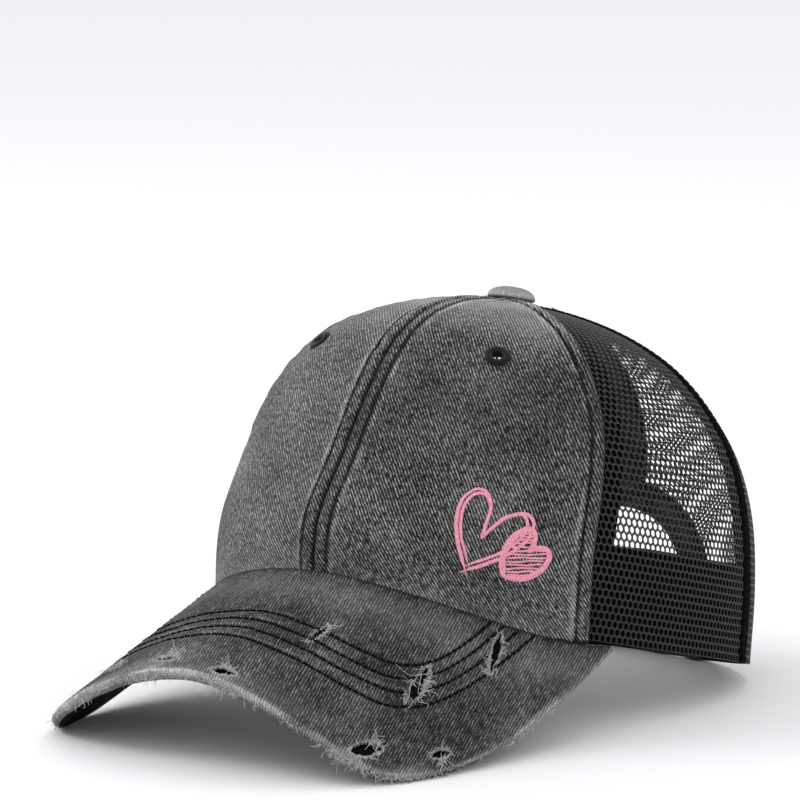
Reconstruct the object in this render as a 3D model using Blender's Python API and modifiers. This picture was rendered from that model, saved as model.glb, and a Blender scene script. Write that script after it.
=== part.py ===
"""Ponytail baseball cap.

Two washed twill front panels and a curved twill peak, four net panels behind them, a bound
ponytail slot down the back, a bound D-shaped rear opening and a hook-and-loop strap across it.

Units are metres and +Z is up. The cap is shaped in its own frame: the rim lies in the plane Z = 0,
the peak points along -Y and +X is the wearer's left. A bearing turns from 0 at the front seam
towards +X, to 180 degrees at the back. The finished cap is then leaned back until the side edges
of its peak and the foot of its rear strap stand on the floor.
"""

import bmesh
import bpy
import numpy as np
from mathutils import Matrix, Vector

MM = 0.001

# Crown: reach of the rim from its centre, and how square its plan is
CROWN_HEIGHT = 111.5 * MM
RIM_FRONT = 102.0 * MM
RIM_SIDE = 86.7 * MM
RIM_BACK = 80.5 * MM
APEX_FORWARD = 14.0 * MM
FRONT_POWER = 2.16
BACK_POWER = 2.54
FRONT_SEAM_BEARING = np.radians(59.5)
REAR_SEAM_BEARING = np.radians(112.0)

# Reach of the crown at even steps up its wall, as shares of the rim's reach
CROWN_SECTIONS = {
    "front": (1.000, 1.002, 0.892, 0.795, 0.699, 0.581, 0.424, 0.225, 0.0),
    "side": (1.000, 0.999, 0.971, 0.918, 0.809, 0.664, 0.470, 0.245, 0.0),
    "back": (1.000, 1.003, 0.983, 0.874, 0.733, 0.578, 0.407, 0.215, 0.0),
}

# Lattice of the net's panels: rows and columns of gaps
SIDE_GAP_ROWS = 7
SIDE_GAP_COLUMNS = 4
BACK_GAP_ROWS = (2, 4, 6, 9, 11, 13, 15)
BACK_GAP_COLUMNS = 3

# Cloth
TWILL_THICKNESS = 1.5 * MM
NET_THICKNESS = 1.0 * MM
NET_INSET = 0.3 * MM
TAPE_THICKNESS = 0.9 * MM
CLEARANCE = 0.3 * MM
CURVED_CLEARANCE = 0.5 * MM
SEAM_GAP = 0.4 * MM

# Peak: an arched sheet whose straight ridges run forward and down
PEAK_REACH = 60.5 * MM
PEAK_SLOPE = np.radians(33.0)
PEAK_ARCH_RADIUS = 76.3 * MM
PEAK_END_BEARING = np.radians(64.0)
PEAK_TIP_WIDTH = 2.5 * MM
PEAK_COVER_THICKNESS = 1.2 * MM
PEAK_BOARD_THICKNESS = 2.2 * MM
PEAK_TIP_THICKNESS_SHARE = 0.45
HEM_TUCK_END_BEARING = np.radians(72.0)
PEAK_EDGE_BLEND = 14.0 * MM
ARCH_FLATTENING = 0.081
ARCH_FLATTENING_SPAN = 60.0 * MM

# Outline of the peak laid flat, at even turns from straight ahead to its ends
PEAK_OUTLINE = (1.0, 1.035, 1.10, 1.16, 1.12, 1.05, 1.0)

# Sweatband and seam tapes inside the crown
SWEATBAND_HEIGHT = 32.0 * MM
SWEATBAND_THICKNESS = 1.8 * MM
SEAM_TAPE_WIDTH = 12.0 * MM
SEAM_TAPE_TOP_SHARE = 0.90

# Rear opening, measured along the cloth of the crown's back
OPENING_HALF_WIDTH = 33.5 * MM
OPENING_HEIGHT = 53.0 * MM
OPENING_POWER = 2.29
BINDING_WIDTH = 9.0 * MM

# Ponytail slot
SLOT_HALF_WIDTH = 8.7 * MM
SLOT_TOP_FROM_APEX = 12.5 * MM
SLOT_BINDING_WIDTH = 9.5 * MM

# Hook-and-loop strap
STRAP_HEIGHT = 21.0 * MM
STRAP_THICKNESS = 1.5 * MM
STRAP_END_GAP = 1.2 * MM
TAB_END = 6.0 * MM
STRAP_BEND_START = 27.0 * MM
STRAP_BEND_END = 8.0 * MM

# Button and eyelets
BUTTON_RADIUS = 8.3 * MM
BUTTON_HEIGHT = 5.3 * MM
BUTTON_POST_RADIUS = 3.0 * MM
BUTTON_FLANGE_RADIUS = 5.5 * MM
BUTTON_FLANGE_THICKNESS = 0.9 * MM
APEX_HOLE_RADIUS = 3.8 * MM
EYELET_RADIUS = 4.25 * MM
EYELET_HOLE_RADIUS = 1.5 * MM
EYELET_BARREL_RADIUS = 2.3 * MM
EYELET_FLANGE_RADIUS = 3.6 * MM
EYELET_WALL = 0.8 * MM
EYELET_BEARING = np.radians(32.7)
EYELET_HEIGHT = 88.0 * MM

# Rips through the peak's cover: place round and across the peak as shares, length as a share of
# the peak's reach, width as a share of that length, and the way that each runs, in degrees from
# straight towards the wearer's left round to rearward
RIPS = (
    {"round": 0.20, "across": 0.46, "length": 0.165, "width": 0.18, "heading": 86.0},
    {"round": 0.48, "across": 0.51, "length": 0.281, "width": 0.20, "heading": 111.0},
    {"round": 0.65, "across": 0.22, "length": 0.248, "width": 0.19, "heading": 127.0},
    {"round": 0.43, "across": 0.92, "length": 0.215, "width": 0.28, "heading": 55.0},
    {"round": 0.58, "across": 0.88, "length": 0.149, "width": 0.18, "heading": 62.0},
    {"round": 0.08, "across": 0.93, "length": 0.165, "width": 0.24, "heading": 8.0},
    {"round": -0.09, "across": 0.89, "length": 0.182, "width": 0.165, "heading": -4.0},
    {"round": -0.26, "across": 0.84, "length": 0.149, "width": 0.18, "heading": -24.0},
)

# How far the resting edges are pressed flat by the cap's weight
FLOOR_PRESS = 0.6 * MM

CAP_NAME = "ponytail_baseball_cap"
WALL_STEPS = len(CROWN_SECTIONS["front"]) - 1

COLOURS = {
    "washed_twill": ((0.085, 0.088, 0.092), 0.95),
    "black_net": ((0.012, 0.012, 0.013), 0.70),
    "black_band": ((0.014, 0.014, 0.015), 0.85),
    "black_board": ((0.016, 0.016, 0.017), 0.90),
    "grey_tape": ((0.105, 0.108, 0.112), 0.95),
    "grey_strap": ((0.075, 0.078, 0.082), 0.95),
    "dark_eyelet": ((0.020, 0.020, 0.021), 0.60),
}


def section_reach(name, share):
    """Reach share of one column of the section table, on a smooth curve through its rows.

    Beyond the apex the column is continued with its sign changed, so the dome is smooth there.
    """
    column = np.array(CROWN_SECTIONS[name])
    before = 2 * column[0] - column[1]
    after = -column[-2]
    padded = np.concatenate(([before], column, [after]))
    place = np.clip(share, 0.0, 1.0) * WALL_STEPS
    step = np.minimum(place.astype(int), WALL_STEPS - 1)
    t = place - step
    p0, p1, p2, p3 = (padded[step + k] for k in range(4))
    curve = 2 * p1 + (p2 - p0) * t
    curve += (2 * p0 - 5 * p1 + 4 * p2 - p3) * t ** 2
    curve += (3 * p1 - p0 - 3 * p2 + p3) * t ** 3
    return curve / 2


def share_at_height(height):
    """Share of the way up the wall at a height above the rim; rise slows towards the apex."""
    return 1 - np.sqrt(np.clip(1 - height / CROWN_HEIGHT, 0, None))


def crown_surface(bearing, share):
    """Point of the crown's outer surface: a superellipse whose reaches follow the sections."""
    bearing, share = np.broadcast_arrays(np.asarray(bearing, float), np.asarray(share, float))
    cosine, sine = np.cos(bearing), np.sin(bearing)
    ahead = cosine > 0
    power = np.where(ahead, FRONT_POWER, BACK_POWER)
    scale = (np.abs(cosine) ** power + np.abs(sine) ** power) ** (-1 / power)
    front = RIM_FRONT * section_reach("front", share)
    back = RIM_BACK * section_reach("back", share)
    side = RIM_SIDE * section_reach("side", share)
    rise = 1 - (1 - share) ** 2
    x = side * sine * scale
    y = -np.where(ahead, front, back) * cosine * scale - APEX_FORWARD * rise
    return np.stack([x, y, CROWN_HEIGHT * rise], axis=-1)


def crown_normal(bearing, share):
    """Outward direction of the crown, from small steps round it and up it."""
    step = 1e-4
    around = crown_surface(bearing + step, share) - crown_surface(bearing - step, share)
    upward = crown_surface(bearing, share + step) - crown_surface(bearing, share - step)
    normal = np.cross(around, upward)
    return normal / np.linalg.norm(normal, axis=-1, keepdims=True)


def crown_point(bearing, share, lift=0.0):
    """Point at a distance outside the crown's outer surface, or inside it where lift is negative."""
    bearing, share = np.broadcast_arrays(np.asarray(bearing, float), np.asarray(share, float))
    return crown_surface(bearing, share) + crown_normal(bearing, share) * np.asarray(lift)[..., None]


def bearing_step(bearing, share, distance):
    """Turn that moves a point round the crown by a distance."""
    step = 1e-4
    around = crown_surface(bearing + step, share) - crown_surface(bearing - step, share)
    return distance * 2 * step / np.linalg.norm(around, axis=-1)


def back_bearing(x, share):
    """Bearing of the point of the crown's back that lies at a sideways place x."""
    across = x / (RIM_SIDE * section_reach("side", share))
    rearward = (1 - np.abs(across) ** BACK_POWER) ** (1 / BACK_POWER)
    return np.arctan2(across, -rearward)


def meridian():
    """Shares up the wall and the length of cloth to each, up the middle of the crown's back."""
    share = np.linspace(0, 1, 401)
    line = crown_surface(np.full_like(share, np.pi), share)
    steps = np.linalg.norm(np.diff(line, axis=0), axis=1)
    return share, np.concatenate(([0], np.cumsum(steps)))


MERIDIAN_SHARES, MERIDIAN_LENGTHS = meridian()
BACK_LENGTH = MERIDIAN_LENGTHS[-1]
APEX_SHARE = 1 - APEX_HOLE_RADIUS / (RIM_BACK * CROWN_SECTIONS["back"][-2] * WALL_STEPS)


def back_share(length):
    """Share up the wall reached by a length of cloth up the crown's back."""
    return np.interp(length, MERIDIAN_LENGTHS, MERIDIAN_SHARES)


def back_point(x, length, lift):
    """Point of the crown's back at a sideways place and a length of cloth above the rim."""
    share = back_share(length)
    return crown_point(back_bearing(x, share), share, lift)


def arch_table():
    """Arc lengths across the peak with the sideways place and the drop that each reaches."""
    arc = np.linspace(0, 2.2 * RIM_SIDE, 400)
    turn = arc / PEAK_ARCH_RADIUS - ARCH_FLATTENING * (arc / ARCH_FLATTENING_SPAN) ** 3
    step = arc[1]
    across, drop = (
        np.concatenate(([0], np.cumsum((part[1:] + part[:-1]) / 2 * step)))
        for part in (np.cos(turn), np.sin(turn))
    )
    return arc, across, drop


ARCH_ARC, ARCH_ACROSS, ARCH_DROP = arch_table()
ARCH_LIMIT = int(np.argmax(ARCH_ACROSS)) + 1


def arch_length(x):
    """Arc length across the peak to a sideways place x."""
    return np.sign(x) * np.interp(np.abs(x), ARCH_ACROSS[:ARCH_LIMIT], ARCH_ARC[:ARCH_LIMIT])


def peak_level():
    """Height of the peak's ridge at the crown, set so that its ends reach the rim's plane."""
    end = crown_surface(PEAK_END_BEARING, 0.0)
    drop = np.interp(arch_length(end[0]), ARCH_ARC, ARCH_DROP)
    return drop + np.tan(PEAK_SLOPE) * (-RIM_FRONT - end[1])


PEAK_LEVEL = peak_level()


def peak_surface(arc, y):
    """Point of the peak's upper surface: the arch carried forward and down its straight ridges."""
    x = np.sign(arc) * np.interp(np.abs(arc), ARCH_ARC, ARCH_ACROSS)
    drop = np.interp(np.abs(arc), ARCH_ARC, ARCH_DROP)
    forward = -RIM_FRONT - y
    return np.stack([x, y, PEAK_LEVEL - drop - np.tan(PEAK_SLOPE) * forward], axis=-1)


def peak_normal(arc, y):
    """Upward direction of the peak's upper surface."""
    step = 1e-5
    across = peak_surface(arc + step, y) - peak_surface(arc - step, y)
    rearward = peak_surface(arc, y + step) - peak_surface(arc, y - step)
    normal = np.cross(across, rearward)
    return normal / np.linalg.norm(normal, axis=-1, keepdims=True)


def seam_height(bearing):
    """Height at which the peak's upper surface meets the crown, never under the rim's plane."""
    bearing = np.asarray(bearing, float)
    height = np.zeros_like(bearing)
    for _ in range(4):
        place = crown_surface(bearing, share_at_height(height))
        level = peak_surface(arch_length(place[..., 0]), place[..., 1])[..., 2]
        height = np.where(np.abs(bearing) < PEAK_END_BEARING, np.clip(level, 0, None), 0.0)
    return height


def hem_height(bearing):
    """Height of the crown's lower edge, which is tucked down behind the peak's inner edge.

    The tuck is as deep as the peak is thick at the front, and fades out past the peak's ends.
    """
    peak_thickness = PEAK_COVER_THICKNESS + CLEARANCE + PEAK_BOARD_THICKNESS
    fade = np.clip(1 - (bearing / HEM_TUCK_END_BEARING) ** 2, 0, None)
    return seam_height(bearing) - fade * peak_thickness / np.cos(PEAK_SLOPE)


def peak_flat(turn, across_share):
    """Flat place on the peak: from the crown's foot at share 0 to the outer edge at share 1.

    turn runs from -90 degrees at the wearer's right end of the peak to 90 at the left end.
    """
    bearing = turn / (np.pi / 2) * PEAK_END_BEARING
    share = share_at_height(seam_height(bearing))
    foot = crown_point(bearing, share, CURVED_CLEARANCE)
    end = crown_surface(PEAK_END_BEARING, 0.0)
    marks = np.linspace(0, np.pi / 2, len(PEAK_OUTLINE))
    reach = smooth_through(marks, PEAK_OUTLINE, np.abs(turn))
    half_width = arch_length(end[0]) + PEAK_TIP_WIDTH
    outer_arc = half_width * np.sin(turn) * reach
    outer_y = end[1] + (-RIM_FRONT - PEAK_REACH - end[1]) * np.cos(turn) * reach
    inner_arc = arch_length(foot[..., 0])
    inner_y = foot[..., 1]
    width = np.hypot(outer_arc - inner_arc, outer_y - inner_y)
    arc = inner_arc + (outer_arc - inner_arc) * across_share
    y = inner_y + (outer_y - inner_y) * across_share
    return arc, y, width


def smooth_through(marks, values, place):
    """Smooth curve through evenly spaced marks, level at its first one."""
    values = np.array(values)
    padded = np.concatenate(([values[1]], values, [2 * values[-1] - values[-2]]))
    position = np.clip((place - marks[0]) / (marks[1] - marks[0]), 0, len(values) - 1)
    step = np.minimum(position.astype(int), len(values) - 2)
    t = position - step
    p0, p1, p2, p3 = (padded[step + k] for k in range(4))
    curve = 2 * p1 + (p2 - p0) * t
    curve += (2 * p0 - 5 * p1 + 4 * p2 - p3) * t ** 2
    curve += (3 * p1 - p0 - 3 * p2 + p3) * t ** 3
    return curve / 2


def peak_layer(turn, across_share, depth):
    """Point at a depth under the peak's upper surface.

    Beside the crown the depth runs straight down, so that the peak's inner edge stands against
    the crown's wall, and further out it runs square to the cloth. Both thin out to the ends.
    """
    arc, y, width = peak_flat(turn, across_share)
    normal = peak_normal(arc, y)
    upright = np.zeros_like(normal)
    upright[..., 2] = 1 / normal[..., 2]
    away = np.clip(width * across_share / PEAK_EDGE_BLEND, 0, 1)
    away = (away * away * (3 - 2 * away))[..., None]
    ends = 1 - (1 - PEAK_TIP_THICKNESS_SHARE) * np.abs(turn / (np.pi / 2))[..., None] ** 6
    direction = upright * (1 - away) + normal * away
    return peak_surface(arc, y) - direction * ends * np.asarray(depth)[..., None]


def named_material(name):
    """Principled material of one cloth or fitting, made once."""
    existing = bpy.data.materials.get(name)
    if existing:
        return existing
    colour, roughness = COLOURS[name]
    material = bpy.data.materials.new(name)
    material.use_nodes = True
    shader = material.node_tree.nodes["Principled BSDF"]
    shader.inputs["Base Color"].default_value = (*colour, 1.0)
    shader.inputs["Roughness"].default_value = roughness
    shader.inputs["Metallic"].default_value = 0.0
    return material


def add_object(name, mesh, material, collection):
    """Object of a finished mesh, smooth over its gentle folds and sharp at its edges."""
    mesh.shade_smooth()
    mesh.set_sharp_from_angle(angle=np.radians(35))
    piece = bpy.data.objects.new(name, mesh)
    collection.objects.link(piece)
    if material:
        mesh.materials.append(named_material(material))
    return piece


def grid_faces(rows, columns, gaps=()):
    """Quads of a grid of points, without those named as gaps by row and column."""
    left_out = set(gaps)
    return [
        (r * columns + c, r * columns + c + 1, (r + 1) * columns + c + 1, (r + 1) * columns + c)
        for r in range(rows - 1)
        for c in range(columns - 1)
        if (r, c) not in left_out
    ]


def add_sheet(name, grid, thickness, material, collection, gaps=(), side=-1.0, even=False):
    """Cloth of one thickness: an open grid of points with Solidify on its inner or outer side."""
    rows, columns = grid.shape[:2]
    mesh = bpy.data.meshes.new(name)
    mesh.from_pydata(grid.reshape(-1, 3).tolist(), [], grid_faces(rows, columns, gaps))
    piece = add_object(name, mesh, material, collection)
    wall = piece.modifiers.new("thickness", "SOLIDIFY")
    wall.thickness = thickness
    wall.offset = side
    wall.use_even_offset = even
    return piece


def add_lofted_wall(name, outer, inner, material, collection):
    """Closed wall between an outer and an inner sheet of unlike shape, joined round their rims."""
    rows, columns = outer.shape[:2]
    count = rows * columns
    faces = grid_faces(rows, columns)
    faces += [tuple(count + k for k in reversed(face)) for face in grid_faces(rows, columns)]
    rim = [c for c in range(columns)]
    rim += [r * columns + columns - 1 for r in range(1, rows)]
    rim += [(rows - 1) * columns + c for c in range(columns - 2, -1, -1)]
    rim += [r * columns for r in range(rows - 2, 0, -1)]
    following = rim[1:] + rim[:1]
    faces += [(b, a, count + a, count + b) for a, b in zip(rim, following)]
    points = np.concatenate([outer.reshape(-1, 3), inner.reshape(-1, 3)])
    mesh = bpy.data.meshes.new(name)
    mesh.from_pydata(points.tolist(), [], faces)
    return add_object(name, mesh, material, collection)


def add_turned(name, profile, sides, material, collection, closed=False):
    """Turned piece: a profile of radius and height, spun round its own Z axis by Screw."""
    count = len(profile)
    edges = [(k, k + 1) for k in range(count - 1)]
    if closed:
        edges.append((count - 1, 0))
    mesh = bpy.data.meshes.new(name)
    mesh.from_pydata([(radius, 0.0, height) for radius, height in profile], edges, [])
    piece = bpy.data.objects.new(name, mesh)
    collection.objects.link(piece)
    mesh.materials.append(named_material(material))
    spin = piece.modifiers.new("spin", "SCREW")
    spin.steps = sides
    spin.render_steps = sides
    spin.use_merge_vertices = True
    spin.merge_threshold = 0.00001
    spin.use_smooth_shade = True
    return piece


def stand_on_surface(piece, point, normal, along=(1.0, 0.0, 0.0)):
    """Place a piece with its Z axis out of a surface and its X axis as near as can be to along."""
    outward = Vector(normal).normalized()
    crosswise = outward.cross(Vector(along)).normalized()
    facing = Matrix((crosswise.cross(outward), crosswise, outward)).transposed()
    piece.matrix_basis = Matrix.Translation(Vector(point)) @ facing.to_4x4()


def cut(piece, cutter):
    """Take a cutter's shape out of a piece."""
    boolean = piece.modifiers.new("cut_" + cutter.name, "BOOLEAN")
    boolean.operation = "DIFFERENCE"
    boolean.solver = "EXACT"
    boolean.object = cutter


def add_cutter(name, sides, size, collection):
    """Upright prism with an elliptical outline, centred on its own origin."""
    shape = bmesh.new()
    bmesh.ops.create_cone(
        shape, cap_ends=True, segments=sides, radius1=0.5, radius2=0.5, depth=1.0)
    bmesh.ops.scale(shape, vec=size, verts=shape.verts)
    mesh = bpy.data.meshes.new(name)
    shape.to_mesh(mesh)
    shape.free()
    cutter = bpy.data.objects.new(name, mesh)
    collection.objects.link(cutter)
    cutter.hide_render = True
    cutter.display_type = "WIRE"
    return cutter


def edge_shares(count, narrow=0.025):
    """Even shares from 0 to 1 with one narrow step at each end, so that the edges stand square."""
    return np.concatenate(([0.0], np.linspace(narrow, 1 - narrow, count), [1.0]))


def strand_shares(gaps, strand, low, high):
    """Shares of a lattice: solid to low, then gaps parted by strands, then solid from high."""
    pitch = (high - low + strand) / gaps
    starts = low + pitch * np.arange(gaps)
    return np.sort(np.concatenate(([0.0, 0.025], starts, starts + pitch - strand, [0.975, 1.0])))


def lattice_cells(row_gaps, column_gaps, first_row, first_column):
    """Row and column of each gap of a lattice, which lie one strand apart both ways."""
    return [
        (first_row + 2 * r, first_column + 2 * c)
        for r in range(row_gaps)
        for c in range(column_gaps)
    ]


def add_front_panels(parts, cutters):
    """The two twill panels over the peak, each with an eyelet's hole."""
    panels = {}
    across = edge_shares(8)[None, :]
    upward = np.linspace(0, 1, 14)[:, None]
    for side, name in ((1, "front_panel_left"), (-1, "front_panel_right")):
        place = across if side > 0 else across[:, ::-1]
        bearing = side * FRONT_SEAM_BEARING * place
        low = share_at_height(hem_height(bearing))
        share = low + (APEX_SHARE - low) * upward
        inset = bearing_step(bearing, share, SEAM_GAP / 2)
        bearing = bearing + side * inset * (1 - 2 * place)
        grid = crown_point(bearing, share)
        panel = add_sheet(name, grid, TWILL_THICKNESS, "washed_twill", parts)
        hole = add_cutter("eyelet_hole_" + name, 14, (
            2 * (EYELET_BARREL_RADIUS + CLEARANCE), 2 * (EYELET_BARREL_RADIUS + CLEARANCE),
            8 * TWILL_THICKNESS), cutters)
        stand_on_surface(hole, *eyelet_place(side))
        cut(panel, hole)
        panels[side] = panel
    return panels


def eyelet_place(side):
    """Centre of an eyelet on the crown, and the way that it faces."""
    share = share_at_height(EYELET_HEIGHT)
    bearing = side * EYELET_BEARING
    return crown_surface(bearing, share), crown_normal(bearing, share)


def add_side_panels(parts):
    """The two net panels over the ears, as lattices."""
    across = strand_shares(SIDE_GAP_COLUMNS, 0.06, 0.08, 0.92)[None, :]
    upward = strand_shares(SIDE_GAP_ROWS, 0.03, 0.16, 0.80)[:, None]
    for side, name in ((1, "mesh_side_left"), (-1, "mesh_side_right")):
        place = across if side > 0 else across[:, ::-1]
        bearing = side * (FRONT_SEAM_BEARING + (REAR_SEAM_BEARING - FRONT_SEAM_BEARING) * place)
        low = share_at_height(hem_height(bearing))
        share = low + (APEX_SHARE - low) * upward
        inset = bearing_step(bearing, share, SEAM_GAP / 2)
        bearing = bearing + side * inset * (1 - 2 * place)
        grid = crown_point(bearing, share, -NET_INSET)
        cells = lattice_cells(SIDE_GAP_ROWS, SIDE_GAP_COLUMNS, 2, 2)
        add_sheet(name, grid, NET_THICKNESS, "black_net", parts, cells)


def opening_outline(angle, beyond=0.0):
    """Place and length up the cloth on the rear opening's edge, or a distance beyond it."""
    power = 2 / OPENING_POWER
    cosine, sine = np.cos(angle), np.sin(angle)
    x = OPENING_HALF_WIDTH * np.sign(cosine) * np.abs(cosine) ** power
    length = OPENING_HEIGHT * np.abs(sine) ** power
    out_x = np.sign(cosine) * np.abs(cosine) ** (2 - power) / OPENING_HALF_WIDTH
    out_length = np.abs(sine) ** (2 - power) / OPENING_HEIGHT
    norm = np.hypot(out_x, out_length)
    return x + out_x / norm * beyond, length + out_length / norm * beyond


SLOT_BOTTOM = OPENING_HEIGHT + BINDING_WIDTH + 2 * CLEARANCE
SLOT_TOP = BACK_LENGTH - SLOT_TOP_FROM_APEX
SLOT_END_HALF_WIDTH = CURVED_CLEARANCE + TAPE_THICKNESS + CLEARANCE


def slot_outline(share, beyond=0.0):
    """Place and length up the cloth on the slot's edge at a share of its length, a pointed oval.

    Beyond the edge the tape follows it at a distance, and its two ends are cut straight across.
    """
    swell = SLOT_HALF_WIDTH - SLOT_END_HALF_WIDTH
    x = SLOT_END_HALF_WIDTH + swell * np.sin(np.pi * share)
    length = SLOT_BOTTOM + (SLOT_TOP - SLOT_BOTTOM) * share
    lean = swell * np.pi * np.cos(np.pi * share) / (SLOT_TOP - SLOT_BOTTOM)
    norm = np.sqrt(1 + lean ** 2)
    return x + beyond / norm, np.clip(length - beyond * lean / norm, SLOT_BOTTOM, SLOT_TOP)


def add_back_panels(parts):
    """The two net panels behind, cut away for half of the rear opening and half of the slot."""
    arch_x, arch_length_up = opening_outline(np.linspace(0, np.pi / 2, 8))
    slot_x, slot_length = slot_outline(np.linspace(0, 1, 9))
    seam_x = SEAM_GAP / 2
    top_length = np.interp(APEX_SHARE, MERIDIAN_SHARES, MERIDIAN_LENGTHS)
    edge_x = np.concatenate((np.maximum(arch_x, seam_x), slot_x, [seam_x, seam_x]))
    lengths = np.concatenate((
        arch_length_up, slot_length, [SLOT_TOP + CLEARANCE * 2, top_length]))
    share = back_share(lengths)[:, None]
    inner = back_bearing(edge_x[:, None], share)
    across = strand_shares(BACK_GAP_COLUMNS, 0.07, 0.10, 0.80)[None, :]
    cells = [(row, 2 + 2 * c) for row in BACK_GAP_ROWS for c in range(BACK_GAP_COLUMNS)]
    for side, name in ((1, "mesh_back_left"), (-1, "mesh_back_right")):
        place = across if side > 0 else across[:, ::-1]
        bearing = REAR_SEAM_BEARING + (inner - REAR_SEAM_BEARING) * place
        inset = bearing_step(bearing, share, SEAM_GAP / 2)
        bearing = side * (bearing + inset * (1 - place))
        grid = crown_point(bearing, np.broadcast_to(share, bearing.shape), -NET_INSET)
        mirrored = [(r, grid.shape[1] - 2 - c) for r, c in cells] if side < 0 else cells
        add_sheet(name, grid, NET_THICKNESS, "black_net", parts, mirrored)


def folded_tape(outline, width):
    """Rows of points of a tape folded over an edge of the net: outer leaf, fold, inner leaf.

    outline gives the places at a distance beyond the net's edge, negative inside the opening.
    """
    outside = -NET_INSET + CLEARANCE
    inside = -NET_INSET - NET_THICKNESS - CURVED_CLEARANCE
    stations = (
        (width, outside), (width / 2, outside), (-CURVED_CLEARANCE, outside),
        (-CURVED_CLEARANCE, inside), (width / 2, inside), (width, inside))
    columns = []
    for beyond, lift in stations:
        x, length = outline(beyond)
        columns.append(back_point(x, length, lift))
    return np.stack(columns, axis=1)


def add_bindings(parts):
    """Tapes folded over the rear opening's edge and over the two edges of the slot."""
    around = np.linspace(0, np.pi, 21)
    grid = folded_tape(lambda beyond: opening_outline(around, beyond), BINDING_WIDTH)
    add_sheet("opening_binding", grid, TAPE_THICKNESS, "grey_tape", parts, side=1.0, even=True)
    share = np.linspace(0, 1, 11)
    for side, name in ((1, "slot_binding_left"), (-1, "slot_binding_right")):
        grid = folded_tape(lambda beyond: slot_outline(share, beyond), SLOT_BINDING_WIDTH)
        if side < 0:
            grid = grid[::-1] * (-1, 1, 1)
        add_sheet(name, grid, TAPE_THICKNESS, "grey_tape", parts, side=1.0, even=True)


def add_sweatband(parts):
    """Black band round the head, from one side of the rear opening to the other."""
    along = edge_shares(50, 0.008)[None, :] * 2 - 1
    upward = np.linspace(0, 1, 3)[:, None]
    end_x = OPENING_HALF_WIDTH + BINDING_WIDTH + 4 * CLEARANCE
    share = share_at_height(SWEATBAND_HEIGHT * upward)
    bearing = along * back_bearing(end_x, share)
    height = hem_height(bearing) + SWEATBAND_HEIGHT * upward
    lift = -TWILL_THICKNESS - CURVED_CLEARANCE
    grid = crown_point(bearing, share_at_height(height), lift)
    add_sheet("sweatband", grid, SWEATBAND_THICKNESS, "black_band", parts)


def add_seam_tapes(parts):
    """Black tapes inside the crown over the seams beside the net's side panels."""
    across = np.linspace(-0.5, 0.5, 3)[None, :]
    lift = -TWILL_THICKNESS - CURVED_CLEARANCE
    for seam, place in ((FRONT_SEAM_BEARING, "front"), (REAR_SEAM_BEARING, "rear")):
        for side, word in ((1, "left"), (-1, "right")):
            low = share_at_height(SWEATBAND_HEIGHT + hem_height(np.array(seam)) + 2 * CLEARANCE)
            share = (low + (SEAM_TAPE_TOP_SHARE - low) * np.linspace(0, 1, 9))[:, None]
            bearing = side * seam + bearing_step(side * seam, share, SEAM_TAPE_WIDTH * across)
            grid = crown_point(bearing, np.broadcast_to(share, bearing.shape), lift)
            add_sheet("seam_tape_" + place + "_" + word, grid, TAPE_THICKNESS, "black_band", parts)


def add_peak(parts, cutters):
    """Twill cover with its lip turned down over the edge, and the black board under it."""
    turn = np.radians(np.linspace(-90, 90, 31))[:, None]
    across = np.linspace(0, 1, 7)[None, :]
    turns = np.broadcast_to(turn, (turn.shape[0], across.shape[1]))
    edge = turns[:, -1:]
    width = peak_flat(edge, np.ones_like(edge))[2]
    cover, board = PEAK_COVER_THICKNESS, PEAK_BOARD_THICKNESS
    depth = cover + CLEARANCE + board
    ends = 1 - (1 - PEAK_TIP_THICKNESS_SHARE) * np.abs(edge / (np.pi / 2)) ** 6
    lip_inset = 1 - cover * ends / width
    board_inset = lip_inset - CLEARANCE / width
    top = peak_layer(turns, across, np.zeros_like(turns))
    lip = peak_layer(edge, np.ones_like(edge), np.full_like(edge, depth))
    under = peak_layer(turns, across * lip_inset, np.full_like(turns, cover))
    lip_under = peak_layer(edge, lip_inset, np.full_like(edge, depth))
    outer = np.concatenate((top, lip), axis=1)
    inner = np.concatenate((under, lip_under), axis=1)
    peak_cover = add_lofted_wall("peak_cover", outer, inner, "washed_twill", parts)
    board_top = peak_layer(turns, across * board_inset, np.full_like(turns, cover + CLEARANCE))
    board_low = peak_layer(turns, across * board_inset, np.full_like(turns, depth))
    add_lofted_wall("peak_underside", board_top, board_low, "black_board", parts)
    for number, rip in enumerate(RIPS, start=1):
        arc, y, _ = peak_flat(np.array(rip["round"] * np.pi / 2), np.array(rip["across"]))
        heading = np.radians(rip["heading"])
        ahead = peak_surface(arc + MM * np.cos(heading), y + MM * np.sin(heading))
        length = rip["length"] * PEAK_REACH
        size = (length, rip["width"] * length, 4 * cover)
        cutter = add_cutter("rip_" + str(number), 10, size, cutters)
        place = peak_surface(arc, y)
        stand_on_surface(cutter, place, peak_normal(arc, y), ahead - place)
        cut(peak_cover, cutter)


def strap_lift(x, behind, front):
    """Lift of the strap: behind the binding at its root, in front of the tab past its bend."""
    bend = np.clip((STRAP_BEND_START - x) / (STRAP_BEND_START - STRAP_BEND_END), 0, 1)
    bend = bend * bend * (3 - 2 * bend)
    return behind + (front - behind) * bend


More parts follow.
